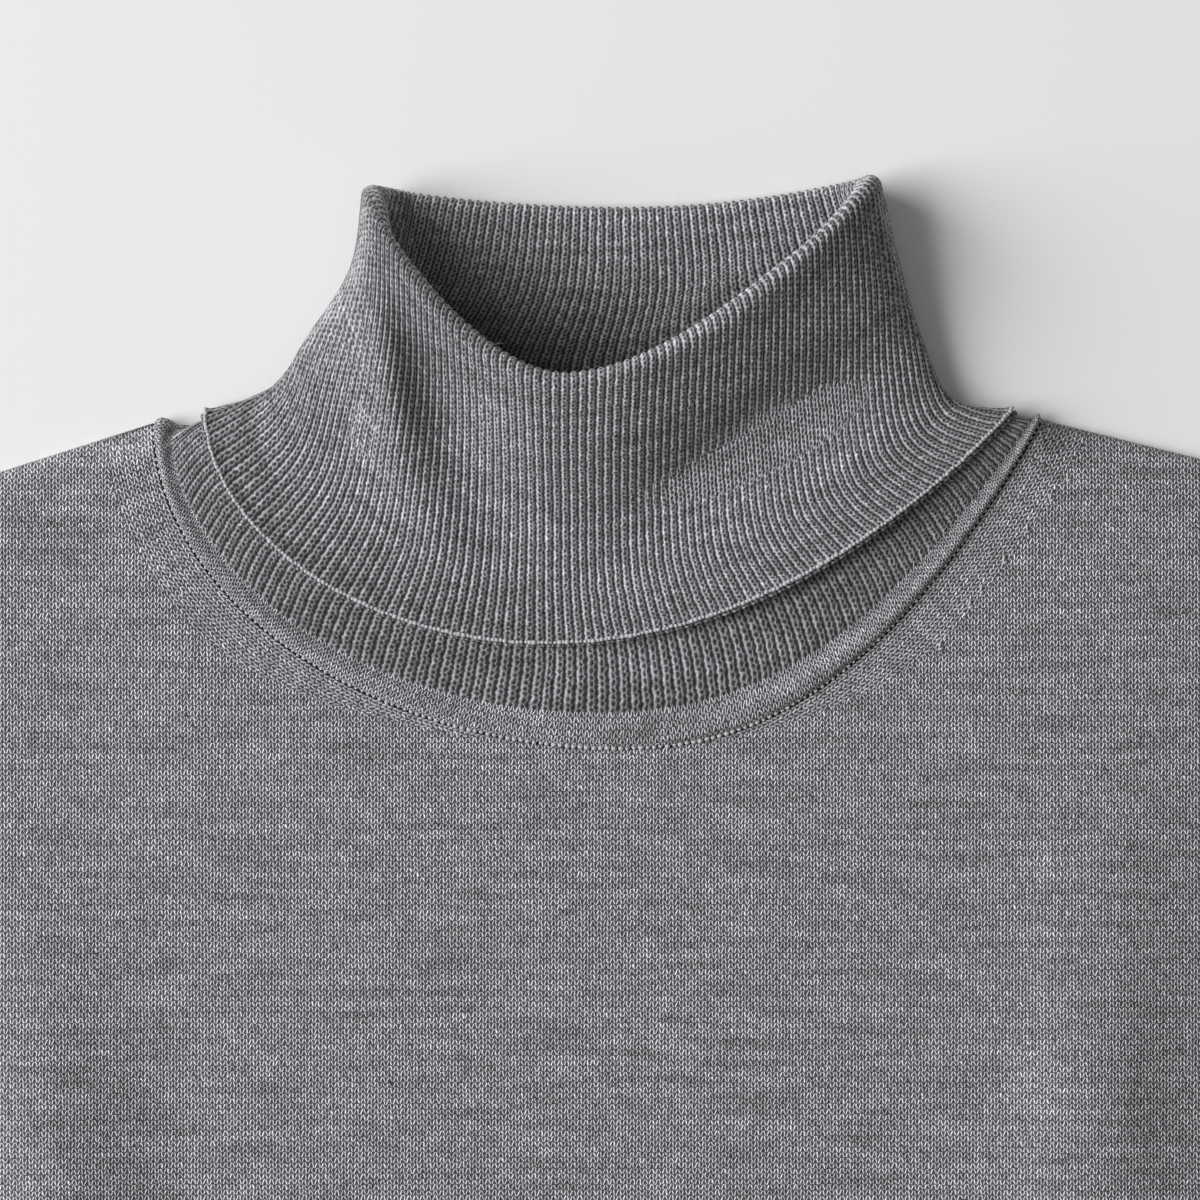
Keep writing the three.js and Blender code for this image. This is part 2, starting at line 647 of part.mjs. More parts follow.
function buildBackHemRib() {
  const top = HEM_TOP.y - SEAM_GAP;
  const bottom = HEM_TOP.y - HEM_RIB_DEPTH;
  const narrow = HEM_TOP.x - HEM_DRAW_IN;
  return flatPanel([[-HEM_TOP.x, top], [-narrow, bottom], [narrow, bottom], [HEM_TOP.x, top]]);
}

// A sleeve's directions and the two ends of its wrist, for one side
function arm(side) {
  const down = [side * Math.sin(ARM_ANGLE), -Math.cos(ARM_ANGLE)];
  const out = [side * Math.cos(ARM_ANGLE), Math.sin(ARM_ANGLE)];
  const underarm = add([side * UNDERARM.x, UNDERARM.y], out, SEAM_GAP);
  const inner = add(add(underarm, down, UNDERARM_TO_CUFF), out, SLEEVE_TAPER);
  const outer = add(inner, out, WRIST_WIDTH);
  const shoulder = add(shoulderPoint(side), out, SEAM_GAP);
  return { down, out, underarm, inner, outer, shoulder };
}

// A sleeve: a flattened tube. share: 0 at its upper edge, 1 at its underarm edge
function sleevePlan(side, share, along) {
  const { down, underarm, inner, outer, shoulder } = arm(side);
  const slope = unit(add(shoulderPoint(side), neckPoint(side), -1));
  const upperEdge = [shoulder, add(shoulder, slope, SLEEVE_HEAD), add(outer, down, -SLEEVE_RUN), outer];
  const underEdge = [underarm, add(underarm, down, UNDERARM_PULL), add(inner, down, -WRIST_PULL), inner];
  const seam = add(armholePoint(side, share), [side * SEAM_GAP, 0]);
  const seamChord = mix(add(shoulderPoint(side), [side * SEAM_GAP, 0]),
    add([side * UNDERARM.x, UNDERARM.y], [side * SEAM_GAP, 0]), share);
  const edges = mix(bezier(upperEdge, along), bezier(underEdge, along), share);
  const hollow = (1 - along) ** 2;
  return add(edges, add(seam, seamChord, -1), hollow);
}

function buildSleeve(side) {
  const body = new Body();
  const steps = ARMHOLE_STEPS.map((down) => down / last(ARMHOLE_STEPS));
  const upper = steps;
  const lower = steps.slice(1, -1).reverse();
  const outerRings = [];
  const innerRings = [];
  for (let row = 0; row <= SLEEVE_ROWS; row += 1) {
    const along = row / SLEEVE_ROWS;
    const width = span(sleevePlan(side, 0, along), sleevePlan(side, 1, along));
    const cell = (share, top, depth) => {
      const distance = Math.min(share, 1 - share) * width;
      const middle = FLAT_LOFT / 2;
      const inset = (depth * (1 - clamp(distance / EDGE_ROUND, 0, 1))) / width;
      const moved = lerp(share, 0.5, share === 0.5 ? 0 : inset / Math.abs(0.5 - share));
      const plan = sleevePlan(side, moved, along);
      const crown = loft(...sleevePlan(side, share, along));
      const round = roundUp(distance / (top ? EDGE_ROUND : UNDERSIDE_ROUND));
      return [...plan, lerp(middle, top ? crown - depth : depth, round)];
    };
    const ring = (depth) => body.addRow([
      ...upper.map((share) => cell(share, true, depth)),
      ...lower.map((share) => cell(share, false, depth)),
    ]);
    outerRings.push(ring(0));
    innerRings.push(ring(CLOTH));
  }
  const closed = (rings) => rings.map((ring) => [...ring, ring[0]]);
  body.skin(closed(outerRings));
  body.skin(closed(innerRings), true);
  body.skin([closed([innerRings[0]])[0], closed([outerRings[0]])[0]]);
  body.skin([closed([last(outerRings)])[0], closed([last(innerRings)])[0]]);
  return body.geometry();
}

// A cuff: a flattened rib tube that carries the sleeve on past the wrist
function buildCuff(side) {
  const half = WRIST_WIDTH / 2;
  const middle = FLAT_LOFT / 2;
  const upper = ribLine(half, CUFF_RIBS, middle, FLAT_LOFT);
  const bow = (halfWidth, low) => [UNDERSIDE_ROUND / 3, UNDERSIDE_ROUND].map((distance) =>
    new THREE.Vector2(halfWidth - distance, lerp(middle, low, roundUp(distance / UNDERSIDE_ROUND))));
  const mirrored = (line) => [...line].reverse().map(({ x, y }) => new THREE.Vector2(-x, y));
  const under = bow(half, 0);
  const shape = new THREE.Shape([...upper, ...under, ...mirrored(under)]);
  const lining = plainLine(half - CLOTH, middle, FLAT_LOFT - CLOTH);
  const floor = bow(half - CLOTH, CLOTH);
  shape.holes.push(new THREE.Path([...lining, ...mirrored(floor).reverse(), ...floor.reverse()]));
  const depth = CUFF_DEPTH - SEAM_GAP;
  const geometry = new THREE.ExtrudeGeometry(shape, { depth, bevelEnabled: false });
  drawIn(geometry, depth, CUFF_DRAW_IN / half);
  const { down, inner, outer } = arm(side);
  const centre = add(mix(inner, outer, 0.5), down, SEAM_GAP);
  const along = new THREE.Vector3(down[0], down[1], 0);
  const up = new THREE.Vector3(0, 0, 1);
  const across = new THREE.Vector3().crossVectors(up, along);
  const turn = new THREE.Matrix4().makeBasis(across, up, along);
  turn.setPosition(centre[0], centre[1], 0);
  return geometry.applyMatrix4(turn);
}

function piece(name, geometry, color) {
  const material = new THREE.MeshStandardMaterial({ color, roughness: 0.95, metalness: 0 });
  const mesh = new THREE.Mesh(geometry, material);
  mesh.name = name;
  return mesh;
}

const sweater = new THREE.Group();
sweater.add(
  piece("back", buildBack(), GREY.jersey),
  piece("front", buildFront(), GREY.jersey),
  piece("back_hem_rib", buildBackHemRib(), GREY.rib),
  piece("front_hem_rib", buildFrontHemRib(), GREY.rib),
  piece("sleeve_left", buildSleeve(-1), GREY.sleeve),
  piece("sleeve_right", buildSleeve(1), GREY.sleeve),
  piece("cuff_left", buildCuff(-1), GREY.rib),
  piece("cuff_right", buildCuff(1), GREY.rib),
  piece("collar", buildCollar(), GREY.collar),
);

// The garment's middle on the floor becomes the origin
const extent = new THREE.Box3().setFromObject(sweater);
const middle = extent.getCenter(new THREE.Vector3());
sweater.position.set(-middle.x, -middle.y, -extent.min.z);
sweater.updateMatrixWorld(true);

export default sweater;
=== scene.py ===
"""A turtleneck sweater lying flat with its collar turned down once, seen from straight above.

A piece is drawn in millimetres on the garment's own plan: x = 0 is the middle, y = 0 is the line
through the two neck points, and the collar lies towards +Y. to_row() turns that into metres in
the row frame. The knitting itself (courses, wales, yarn legs) is a bump and a colour pattern that
follows each piece's own stitch coordinates.
"""
import logging
from dataclasses import dataclass, field, fields
from enum import Enum
from typing import Callable, Sequence

import bmesh
import bpy
import numpy as np
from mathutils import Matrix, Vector


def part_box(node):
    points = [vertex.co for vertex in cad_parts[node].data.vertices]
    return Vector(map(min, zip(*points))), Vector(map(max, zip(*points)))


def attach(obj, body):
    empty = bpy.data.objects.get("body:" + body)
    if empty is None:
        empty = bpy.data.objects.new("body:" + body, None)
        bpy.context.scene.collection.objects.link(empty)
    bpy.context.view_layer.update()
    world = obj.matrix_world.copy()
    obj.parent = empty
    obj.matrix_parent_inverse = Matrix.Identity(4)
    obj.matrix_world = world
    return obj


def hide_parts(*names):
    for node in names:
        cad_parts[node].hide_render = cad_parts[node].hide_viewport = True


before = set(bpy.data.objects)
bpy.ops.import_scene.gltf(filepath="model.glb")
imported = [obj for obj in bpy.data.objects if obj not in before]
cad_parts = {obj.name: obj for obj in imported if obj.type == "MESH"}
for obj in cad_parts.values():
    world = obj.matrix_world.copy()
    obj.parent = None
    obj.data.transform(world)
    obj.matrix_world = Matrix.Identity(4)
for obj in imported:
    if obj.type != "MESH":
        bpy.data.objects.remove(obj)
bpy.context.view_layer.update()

Array = np.ndarray
Surface = Callable[[Array, Array], Array]
log = logging.getLogger("sweater")

MM = 0.001
CLOTH = 1.4
COLLAR_CLOTH = 1.3
SEAM_GAP = 0.3
NECK_GAP = 0.4
RIB_RAISE = 0.55
EDGE_Z = CLOTH + SEAM_GAP
EDGE_ROUND = 11.0
FLAT_LOFT = 4.4
NECK_LOFT = 6.8
NECK_REACH = 0.7
WALE = 1.57
COURSE = 1.29
RIB_COURSE = 1.25
BAND_WIDTH = 11.2
BAND_LOW = -77.0
BAND_TAPER = 30.0
FAR_AWAY = 99.0
CROSS_STEP = 0.02
HEM_BOTTOM = -660.0
ROW_SHIFT = -HEM_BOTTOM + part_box("back_hem_rib")[0].y / MM


class Side(Enum):
    """The left or right of the picture, as the sign of x."""

    LEFT = -1
    RIGHT = 1


class Stitch(Enum):
    """What the yarn does on a piece's face."""

    JERSEY = "jersey"
    BANDED = "jersey with wales that follow the neckline"
    RIB = "rib"
    COLLAR = "rib with a plain band at its base"


# Small mathematics


def lerp(a: Array, b: Array, t: Array) -> Array:
    """Args: a, b: ends. t: share. Returns: the value between them."""
    return a + (b - a) * t


def round_up(share: Array) -> Array:
    """Args: share: 0 at an edge, 1 where it is level. Returns: a quarter circle's rise."""
    share = np.clip(share, 0.0, 1.0)
    return np.sqrt(1.0 - (1.0 - share) ** 2)


def unit(vectors: Array) -> Array:
    """Args: vectors: any array of vectors. Returns: the same at length one."""
    length = np.linalg.norm(vectors, axis=-1, keepdims=True)
    return vectors / np.maximum(length, 1e-9)


def bezier(points: Sequence[Array], t: Array) -> Array:
    """Args: points: four controls. t: shares, with a last axis of one. Returns: the curve."""
    a, b, c, d = points
    k = 1.0 - t
    return k**3 * a + 3 * k**2 * t * b + 3 * k * t**2 * c + t**3 * d


def to_row(points: Array) -> Array:
    """Args: points: garment millimetres. Returns: metres in the row frame."""
    return (points + np.array([0.0, ROW_SHIFT, 0.0])) * MM


def run_along(line: Array) -> Array:
    """Args: line: points of a path. Returns: how far along it each point lies."""
    steps = np.linalg.norm(np.diff(line, axis=0), axis=1)
    return np.concatenate([[0.0], np.cumsum(steps)])


def line_area(outline: Array) -> float:
    """Args: outline: points round a plan, mm. Returns: its area in square metres."""
    x, y = outline[:, 0], outline[:, 1]
    return float(abs(np.sum(x * np.roll(y, -1) - y * np.roll(x, -1))) / 2) * MM * MM


# The lying cloth


@dataclass(frozen=True)
class Fold:
    """A soft fold: its middle, direction in degrees, half length, half width and height."""

    x: float
    y: float
    turn: float
    length: float
    width: float
    height: float

    def rise(self, x: Array, y: Array) -> Array:
        """Height of the fold: a squared cosine along it and a bell across it.

        Args: x, y: places on the plan, mm. Returns: the height there, mm.
        """
        turn = np.radians(self.turn)
        along = (x - self.x) * np.cos(turn) + (y - self.y) * np.sin(turn)
        across = -(x - self.x) * np.sin(turn) + (y - self.y) * np.cos(turn)
        fade = np.cos(np.clip(np.abs(along) / self.length, 0, 1) * np.pi / 2) ** 2
        return self.height * fade * np.exp(-((across / self.width) ** 2))


FOLDS = (
    Fold(117, -172, 88, 125, 15, 5.0),
    Fold(147, -175, 88, 110, 14, -1.2),
    Fold(-132, -185, 96, 95, 15, 5.0),
    Fold(-99, -185, 96, 85, 12, -1.2),
    Fold(40, -330, 74, 150, 34, 0.9),
    Fold(-70, -450, 100, 130, 30, 1.1),
    Fold(150, -470, 82, 110, 26, 1.2),
    Fold(-215, -190, 128, 60, 11, 1.5),
    Fold(222, -178, 55, 66, 12, 1.6),
    Fold(330, -190, -42, 95, 20, 1.8),
    Fold(-345, -215, 222, 105, 18, 1.6),
    Fold(455, -360, -60, 70, 16, 1.4),
    Fold(-470, -390, 236, 85, 15, 1.3),
)


def loft(x: Array, y: Array) -> Array:
    """Height of the lying cloth's outer face.

    It is level, rises towards the open neck by a bell of the distance outside the neckline's
    ellipse, and carries the folds.

    Args: x, y: places on the plan, mm. Returns: the height there, mm.
    """
    outside = np.maximum(0.0, np.hypot(x / SEAM.right_x, y / SEAM.low_y) - 1)
    height = FLAT_LOFT + (NECK_LOFT - FLAT_LOFT) * np.exp(-((outside / NECK_REACH) ** 2))
    return height + sum(fold.rise(x, y) for fold in FOLDS)


# The collar's rings


@dataclass(frozen=True)
class Section:
    """One ring of the collar: its corners, its low point in front, its two powers on each side,
    heights and ribs.

    low_rib is the rib number at the low point; left_ribs and right_ribs are those at the
    corners. run is the share of the front's depth over which the side rises.
    """

    left_x: float
    left_y: float
    right_x: float
    right_y: float
    low_x: float
    low_y: float
    back_y: float
    left_bow: float
    left_drop: float
    right_bow: float
    right_drop: float
    corner_z: float
    front_z: float
    run: float
    left_ribs: float
    low_rib: float
    right_ribs: float


SEAM = Section(-107.5, -0.8, 104.9, 0, 4, -78.7, -38, 1.95, 1.95, 2.27, 1, 3.4, 6.8, 0.13,
               48, 4, 52)
TURN_DOWN = (
    Section(-95.5, 1.5, 98.5, 2, -15, -53.8, -18, 1.9, 1.9, 2.1, 1, 5.6, 10.5, 0.22,
            45, -3.5, 52),
    Section(-79, 7.5, 83.5, 4.5, -14, -38.5, -3, 1.85, 1.7, 2.05, 1, 6.6, 12, 0.32,
            43, -3, 50.5),
    Section(-70, 20, 76, 19, -12.5, -22, 14, 1.8, 1.5, 1.95, 1, 8, 17, 0.42,
            41, -2.3, 49),
    Section(-59.8, 36, 70.5, 37, -11, -6, 31, 1.8, 1.35, 1.85, 1, 9.6, 26, 0.55,
            38.5, -1.4, 47.5),
    Section(-57, 53.5, 66, 56, -9, 7, 48.3, 1.8, 1.2, 1.75, 1, 11, 32.5, 0.7,
            36, -0.5, 46),
)
Columns = dict[str, Array]


def section_at(rows: Sequence[Section], level: Array) -> Columns:
    """A smooth Catmull-Rom value through evenly spaced rows.

    Args: rows: the sections. level: 0 at the first, 1 at the last, one a ring.
    Returns: every column as an array with one row a ring.
    """
    level = np.clip(np.asarray(level, dtype=float), 0, 1)
    last = len(rows) - 1
    place = level * last
    first = np.minimum(np.floor(place).astype(int), max(last - 1, 0))
    t = (place - first)[:, None]
    columns = {}
    for item in fields(Section):
        table = np.array([getattr(row, item.name) for row in rows], dtype=float)
        p, a, b, n = (table[np.clip(first + step, 0, last)][:, None] for step in (-1, 0, 1, 2))
        columns[item.name] = 0.5 * (
            2 * a + (b - p) * t + (2 * p - 5 * a + 4 * b - n) * t**2
            + (3 * a - p - 3 * b + n) * t**3
        )
    return columns


def ring_angle(ring: Columns, angle: Array) -> Array:
    """Points of collar rings.

    In front each quarter is a superellipse with one power beside its low point (bow) and one
    beside its corner (drop); behind it is a parabola that drops to the floor round a quarter
    circle.

    Args: ring: columns of the rings. angle: 0 in front, a quarter turn at each corner, positive
        to the right. Returns: points, mm.
    """
    right = angle >= 0
    turn = np.abs(angle)
    quarter = np.pi / 2
    corner_x = np.where(right, ring["right_x"], ring["left_x"])
    corner_y = np.where(right, ring["right_y"], ring["left_y"])
    bow = np.where(right, ring["right_bow"], ring["left_bow"])
    drop = np.where(right, ring["right_drop"], ring["left_drop"])
    front = np.minimum(turn, quarter)
    across = np.sin(front) ** (2 / bow)
    depth = np.maximum(np.cos(front), 0) ** (2 / drop)
    ahead = np.stack([
        lerp(ring["low_x"], corner_x, across),
        lerp(corner_y, ring["low_y"], depth),
        lerp(ring["corner_z"], ring["front_z"], round_up(depth / ring["run"])),
    ], axis=-1)
    middle_x = (ring["left_x"] + ring["right_x"]) / 2
    inward = 1 - np.cos(np.maximum(turn - quarter, 0))
    reach = np.abs(corner_x - middle_x) * inward
    behind = np.stack([
        lerp(corner_x, middle_x, inward),
        lerp(corner_y, ring["back_y"], 1 - (1 - inward) ** 2),
        ring["corner_z"] * (1 - round_up(reach / ring["corner_z"])),
    ], axis=-1)
    return np.where((turn <= quarter)[..., None], ahead, behind)


COLLAR_RIBS = 150
SAMPLES = 120
COLLAR_FOLDS = (
    Fold(-57, 42, 92, 32, 6, 3.8),
    Fold(-52, 12, 104, 36, 6, 6.0),
    Fold(-41, -20, 118, 26, 8, 2.4),
    Fold(-34, -2, 108, 38, 11, -4.0),
    Fold(32, 27, 32, 46, 6, 3.2),
    Fold(38, -4, 31, 52, 12, -7.6),
    Fold(-74, 10, 128, 20, 7, 1.0),
)


def rib_points(ring: Columns, ribs: Array) -> Array:
    """Points of collar rings by rib number, with the ribs evenly spaced in each quarter.

    Args: ring: columns of the rings. ribs: rib numbers. Returns: points, mm.
    """
    count = ring["low_x"].shape[0]
    angles = np.linspace(-np.pi, np.pi, 4 * SAMPLES + 1)
    path = ring_angle(ring, np.broadcast_to(angles, (count, angles.size)))
    steps = np.linalg.norm(np.diff(path, axis=1), axis=-1)
    run = np.concatenate([np.zeros((count, 1)), np.cumsum(steps, axis=1)], axis=1)
    middle = (COLLAR_RIBS + ring["right_ribs"] - ring["left_ribs"]) / 2
    knots = np.concatenate([
        middle - COLLAR_RIBS, -ring["left_ribs"], ring["low_rib"], ring["right_ribs"], middle,
    ], axis=1)
    wanted = middle - (middle - ribs[None, :]) % COLLAR_RIBS
    ends = run[:, ::SAMPLES]
    found = np.stack([
        np.interp(np.interp(want, knot, end), length, angles)
        for want, knot, end, length in zip(wanted, knots, ends, run)
    ])
    return ring_angle(ring, found)


@dataclass
class CollarShape:
    """The collar's surfaces by level and rib number."""

    lift: float = 3.2
    layer_gap: float = 0.5
    fold_gap: float = 2.0
    base_pull: float = 0.34
    crease_start: float = 0.2

    def stand_off(self, level: Array, ribs: Array) -> Array:
        """Args: level, ribs: places. Returns: how far the right front stands off, mm."""
        across = np.clip(ribs / TURN_DOWN[0].right_ribs, 0, 1)
        return self.lift * (1 - level[:, None]) ** 2 * np.sin(np.pi * across)[None, :] ** 2

    def turn_down(self, level: Array, ribs: Array) -> Array:
        """Args: level: 0 at the free edge, 1 at the fold. ribs: rib numbers. Returns: points."""
        points = rib_points(section_at(TURN_DOWN, level), ribs)
        points[..., 2] += self.stand_off(np.clip(level, 0, 1), ribs)
        inside = np.clip(level / self.crease_start, 0, 1)[:, None]
        points[..., 2] += inside * sum(
            fold.rise(points[..., 0], points[..., 1]) for fold in COLLAR_FOLDS)
        return points

    def facing(self, surface: Surface, level: Array, ribs: Array) -> tuple[Array, Array]:
        """Args: surface: by level and ribs. Returns: its outward normals and uphill directions."""
        low = np.maximum(level - CROSS_STEP, 0)
        high = np.minimum(level + CROSS_STEP, 1)
        uphill = unit(surface(high, ribs) - surface(low, ribs))
        around = unit(surface(level, ribs + 0.5) - surface(level, ribs - 0.5))
        return unit(np.cross(around, uphill)), uphill

    def gap(self, level: Array, ribs: Array) -> Array:
        """Args: level, ribs: places. Returns: the room between the two layers, mm."""
        up = np.clip(level, 0, 1)
        steady = self.layer_gap + (self.fold_gap - self.layer_gap) * up[:, None] ** 4
        return steady + self.stand_off(up, ribs)

    def under(self, level: Array, ribs: Array, depth: Array) -> Array:
        """Args: level, ribs: places. depth: mm in from the outer face. Returns: points."""
        normal, _ = self.facing(self.turn_down, level, ribs)
        return self.turn_down(level, ribs) - normal * np.asarray(depth)[..., None]

    def fold(self, turns: Array, ribs: Array, radius: Array) -> Array:
        """The half turn over the top.

        Args: turns: degrees, 0 at the turned-down layer. radius: mm, by turn and rib.
        Returns: points.
        """
        top = np.ones(1)
        normal, uphill = self.facing(self.turn_down, top, ribs)
        centre = self.turn_down(top, ribs) - normal * (
            COLLAR_CLOTH + self.gap(top, ribs) / 2)[..., None]
        angle = np.radians(turns)[:, None, None]
        return centre + radius[..., None] * (normal * np.cos(angle) + uphill * np.sin(angle))

    def stand_base(self, share: Array, ribs: Array) -> Array:
        """Args: share: 0 at the neckline, 1 under the free edge. Returns: points."""
        seam = rib_points(section_at((SEAM,), np.zeros(1)), ribs)
        edge, onto = np.zeros(1), np.array([2 * CROSS_STEP])
        top = self.under(edge, ribs, COLLAR_CLOTH + self.gap(edge, ribs))
        onward = unit(self.under(onto, ribs, COLLAR_CLOTH + self.gap(onto, ribs)) - top)
        reach = np.linalg.norm(top - seam, axis=-1, keepdims=True)
        controls = (seam, lerp(seam, top, self.base_pull),
                    top - onward * self.base_pull * reach, top)
        return bezier(controls, share[:, None, None])


# Meshes


def place_mesh(name: str, points: Array, faces: list, material: bpy.types.Material,
               smooth: bool = True) -> bpy.types.Object:
    """Makes a mesh object at the origin.

    Args: name: its name. points: metres in the row frame. faces: lists of point numbers.
        material: its finish. smooth: shade it smooth. Returns: the object, in the scene.
    """
    mesh = bpy.data.meshes.new(name)
    mesh.from_pydata(points.tolist(), [], faces)
    mesh.polygons.foreach_set("use_smooth", np.full(len(mesh.polygons), smooth))
    mesh.materials.append(material)
    piece = bpy.data.objects.new(name, mesh)
    bpy.context.scene.collection.objects.link(piece)
    log.info("%s: %d points, %d faces", name, len(points), len(faces))
    return piece


@dataclass
class Skin:
    """Points and quads of one piece, with stitch coordinates for its shader.

    uv holds wales (or ribs) and courses; masks holds other fields by name.
    """

    points: list[Array] = field(default_factory=list)
    uv: list[Array] = field(default_factory=list)
    masks: dict[str, list[Array]] = field(default_factory=dict)
    quads: list[Array] = field(default_factory=list)
    period: float = 0.0
    count: int = 0

    def add(self, points: Array, uv: Array, **masks: Array) -> Array:
        """Args: points: a grid, mm. uv: its stitch coordinates. Returns: the grid of indices."""
        rows, columns = points.shape[:2]
        self.points.append(points.reshape(-1, 3))
        self.uv.append(np.broadcast_to(uv, (rows, columns, 2)).reshape(-1, 2))
        for name, mask in masks.items():
            self.masks.setdefault(name, []).append(
                np.broadcast_to(mask, (rows, columns)).reshape(-1))
        ids = np.arange(self.count, self.count + rows * columns).reshape(rows, columns)
        self.count += rows * columns
        return ids

    def skin(self, ids: Array, flip: bool = False) -> None:
        """Args: ids: a grid of indices to join into quads. flip: turn the faces over."""
        quads = np.stack([ids[:-1, :-1], ids[:-1, 1:], ids[1:, 1:], ids[1:, :-1]], axis=-1)
        quads = quads.reshape(-1, 4)
        self.quads.append(quads[:, ::-1] if flip else quads)

    def close(self, outer: Array, inner: Array) -> None:
        """Args: outer, inner: grids of a wall's two faces, joined round their rims."""
        rims = [np.concatenate([g[0], g[1:, -1], g[-1, -2::-1], g[-2:0:-1, 0]])
                for g in (outer, inner)]
        self.skin(outer)
        self.skin(inner, flip=True)
        self.skin(np.stack([np.append(rims[1], rims[1][0]), np.append(rims[0], rims[0][0])]))

    def close_tube(self, outer: Array, inner: Array) -> None:
        """Args: outer, inner: grids of a tube's two faces, joined at its two open ends."""
        outer, inner = (np.concatenate([g, g[:, :1]], axis=1) for g in (outer, inner))
        self.skin(outer)
        self.skin(inner, flip=True)
        self.skin(np.stack([inner[0], outer[0]]))
        self.skin(np.stack([outer[-1], inner[-1]]))

    def build(self, name: str, material: bpy.types.Material) -> bpy.types.Object:
        """Makes the object, its faces outwards.

        Args: name: its name. material: its finish. Returns: the object, linked to the scene.
        """
        points = to_row(np.concatenate(self.points))
        quads = np.concatenate(self.quads)
        a, b, c, d = (points[quads[:, k]] for k in range(4))
        volume = np.einsum("ij,ij->", a, np.cross(b, c)) + np.einsum("ij,ij->", a, np.cross(c, d))
        if volume < 0:
            quads = quads[:, ::-1]
        piece = place_mesh(name, points, quads.tolist(), material)
        mesh = piece.data
        corners = np.concatenate(self.uv)[quads]
        if self.period:
            u = corners[..., 0]
            u += self.period * (u < u.max(axis=1, keepdims=True) - self.period / 2)
        mesh.uv_layers.new(name="stitches").data.foreach_set(
            "uv", corners.reshape(-1).astype(np.float32))
        for mask, values in self.masks.items():
            layer = mesh.attributes.new(mask, "FLOAT", "POINT")
            layer.data.foreach_set("value", np.concatenate(values).astype(np.float32))
        mesh.update()
        return piece


# Finishes


@dataclass(frozen=True)
class Finish:
    """Yarn and stitch of one finish. Colours are linear.

    depth is the stitches' height in mm, and the last number the share of the colour left
    between them, a painted shade in the holes and grooves.
    """

    name: str
    stitch: Stitch
    colour: tuple[float, float, float]
    depth: float = 0.42
    hole_shade: float = 0.12


@dataclass(frozen=True)
class Leg:
    """Where a stitch's legs lie, as shares of half a column: the middle, how far it moves within
    a course, and the half width."""

    middle: float
    sway: float
    width: float


@dataclass(frozen=True)
class Mottle:
    """A noise on the stitch coordinates: its scale and detail, and its share and lowest value."""

    scale: float
    detail: float
    share: float
    low: float


JERSEY_LEG = Leg(0.78, -0.56, 0.25)
RIB_LEG = Leg(0.49, 0.09, 0.28)
DRIFT = Mottle(0.35, 2.0, 0.6, -0.3)
JITTER = Mottle(1.1, 1.0, 0.5, -0.25)
FIBRE = Mottle(3.1, 3.0, 1.5, 0.25)
STREAK = Mottle(0.55, 4.0, 0.9, 0.55)
STREAK_LENGTH = 0.12
LEG_TONE = (0.5, 0.75)
# lifts the plain band's colour, partly for its plain stitch and partly as painted light
BAND_STITCH_AND_LIGHT = 1.3
# painted shade: how far the inside of the collar darkens at its deepest
PAINTED_SHADE_TONE = -0.5
PITCH_RANGE = (1.9, 3.0)
# darker where the ribs are pulled apart, partly the open ribs' gaps and partly painted shade on the
# strip under the free edge; lighter where they lie close
STRETCH_AND_SHADE_TONE = (1.22, 0.6)
FUZZ = 0.3


class Wires:
    """Puts shader nodes together; every method returns the new node's output socket."""

    def __init__(self, name: str) -> None:
        """Args: name: the material's name."""
        self.material = bpy.data.materials.new(name)
        self.material.use_nodes = True
        self.tree = self.material.node_tree
        self.tree.nodes.clear()

    def node(self, kind: str, **settings: object) -> bpy.types.Node:
        """Args: kind: the node's type. settings: its properties. Returns: the node."""
        node = self.tree.nodes.new(kind)
        for key, value in settings.items():
            setattr(node, key, value)
        return node

    def link(self, value: object, socket: bpy.types.NodeSocket) -> None:
        """Args: value: a socket to link from or a constant. socket: where it goes."""
        if isinstance(value, bpy.types.NodeSocket):
            self.tree.links.new(value, socket)
        else:
            socket.default_value = value

    def maths(self, operation: str, a: object, b: object = 0.0,
              c: object = 0.0) -> bpy.types.NodeSocket:
        """Args: operation: of the Math node. a, b, c: sockets or numbers. Returns: its value."""
        node = self.node("ShaderNodeMath", operation=operation)
        for index, value in enumerate((a, b, c)):
            self.link(value, node.inputs[index])
        return node.outputs[0]

    def smooth(self, value: object, low: float, high: float,
               to: tuple[float, float] = (0.0, 1.0)) -> bpy.types.NodeSocket:
        """Args: value: a socket. low, high: the range it is eased over. to: what they become.
        Returns: the result."""
        node = self.node("ShaderNodeMapRange", interpolation_type="SMOOTHSTEP")
        self.link(value, node.inputs[0])
        for index, number in enumerate((low, high, *to), start=1):
            node.inputs[index].default_value = number
        return node.outputs[0]

    def blend(self, share: object, a: object, b: object) -> bpy.types.NodeSocket:
        """Args: share: 0 for a, 1 for b. a, b: numbers or sockets. Returns: the mixed number."""
        node = self.node("ShaderNodeMix", data_type="FLOAT")
        self.link(share, node.inputs[0])
        self.link(a, node.inputs[2])
        self.link(b, node.inputs[3])
        return node.outputs[0]


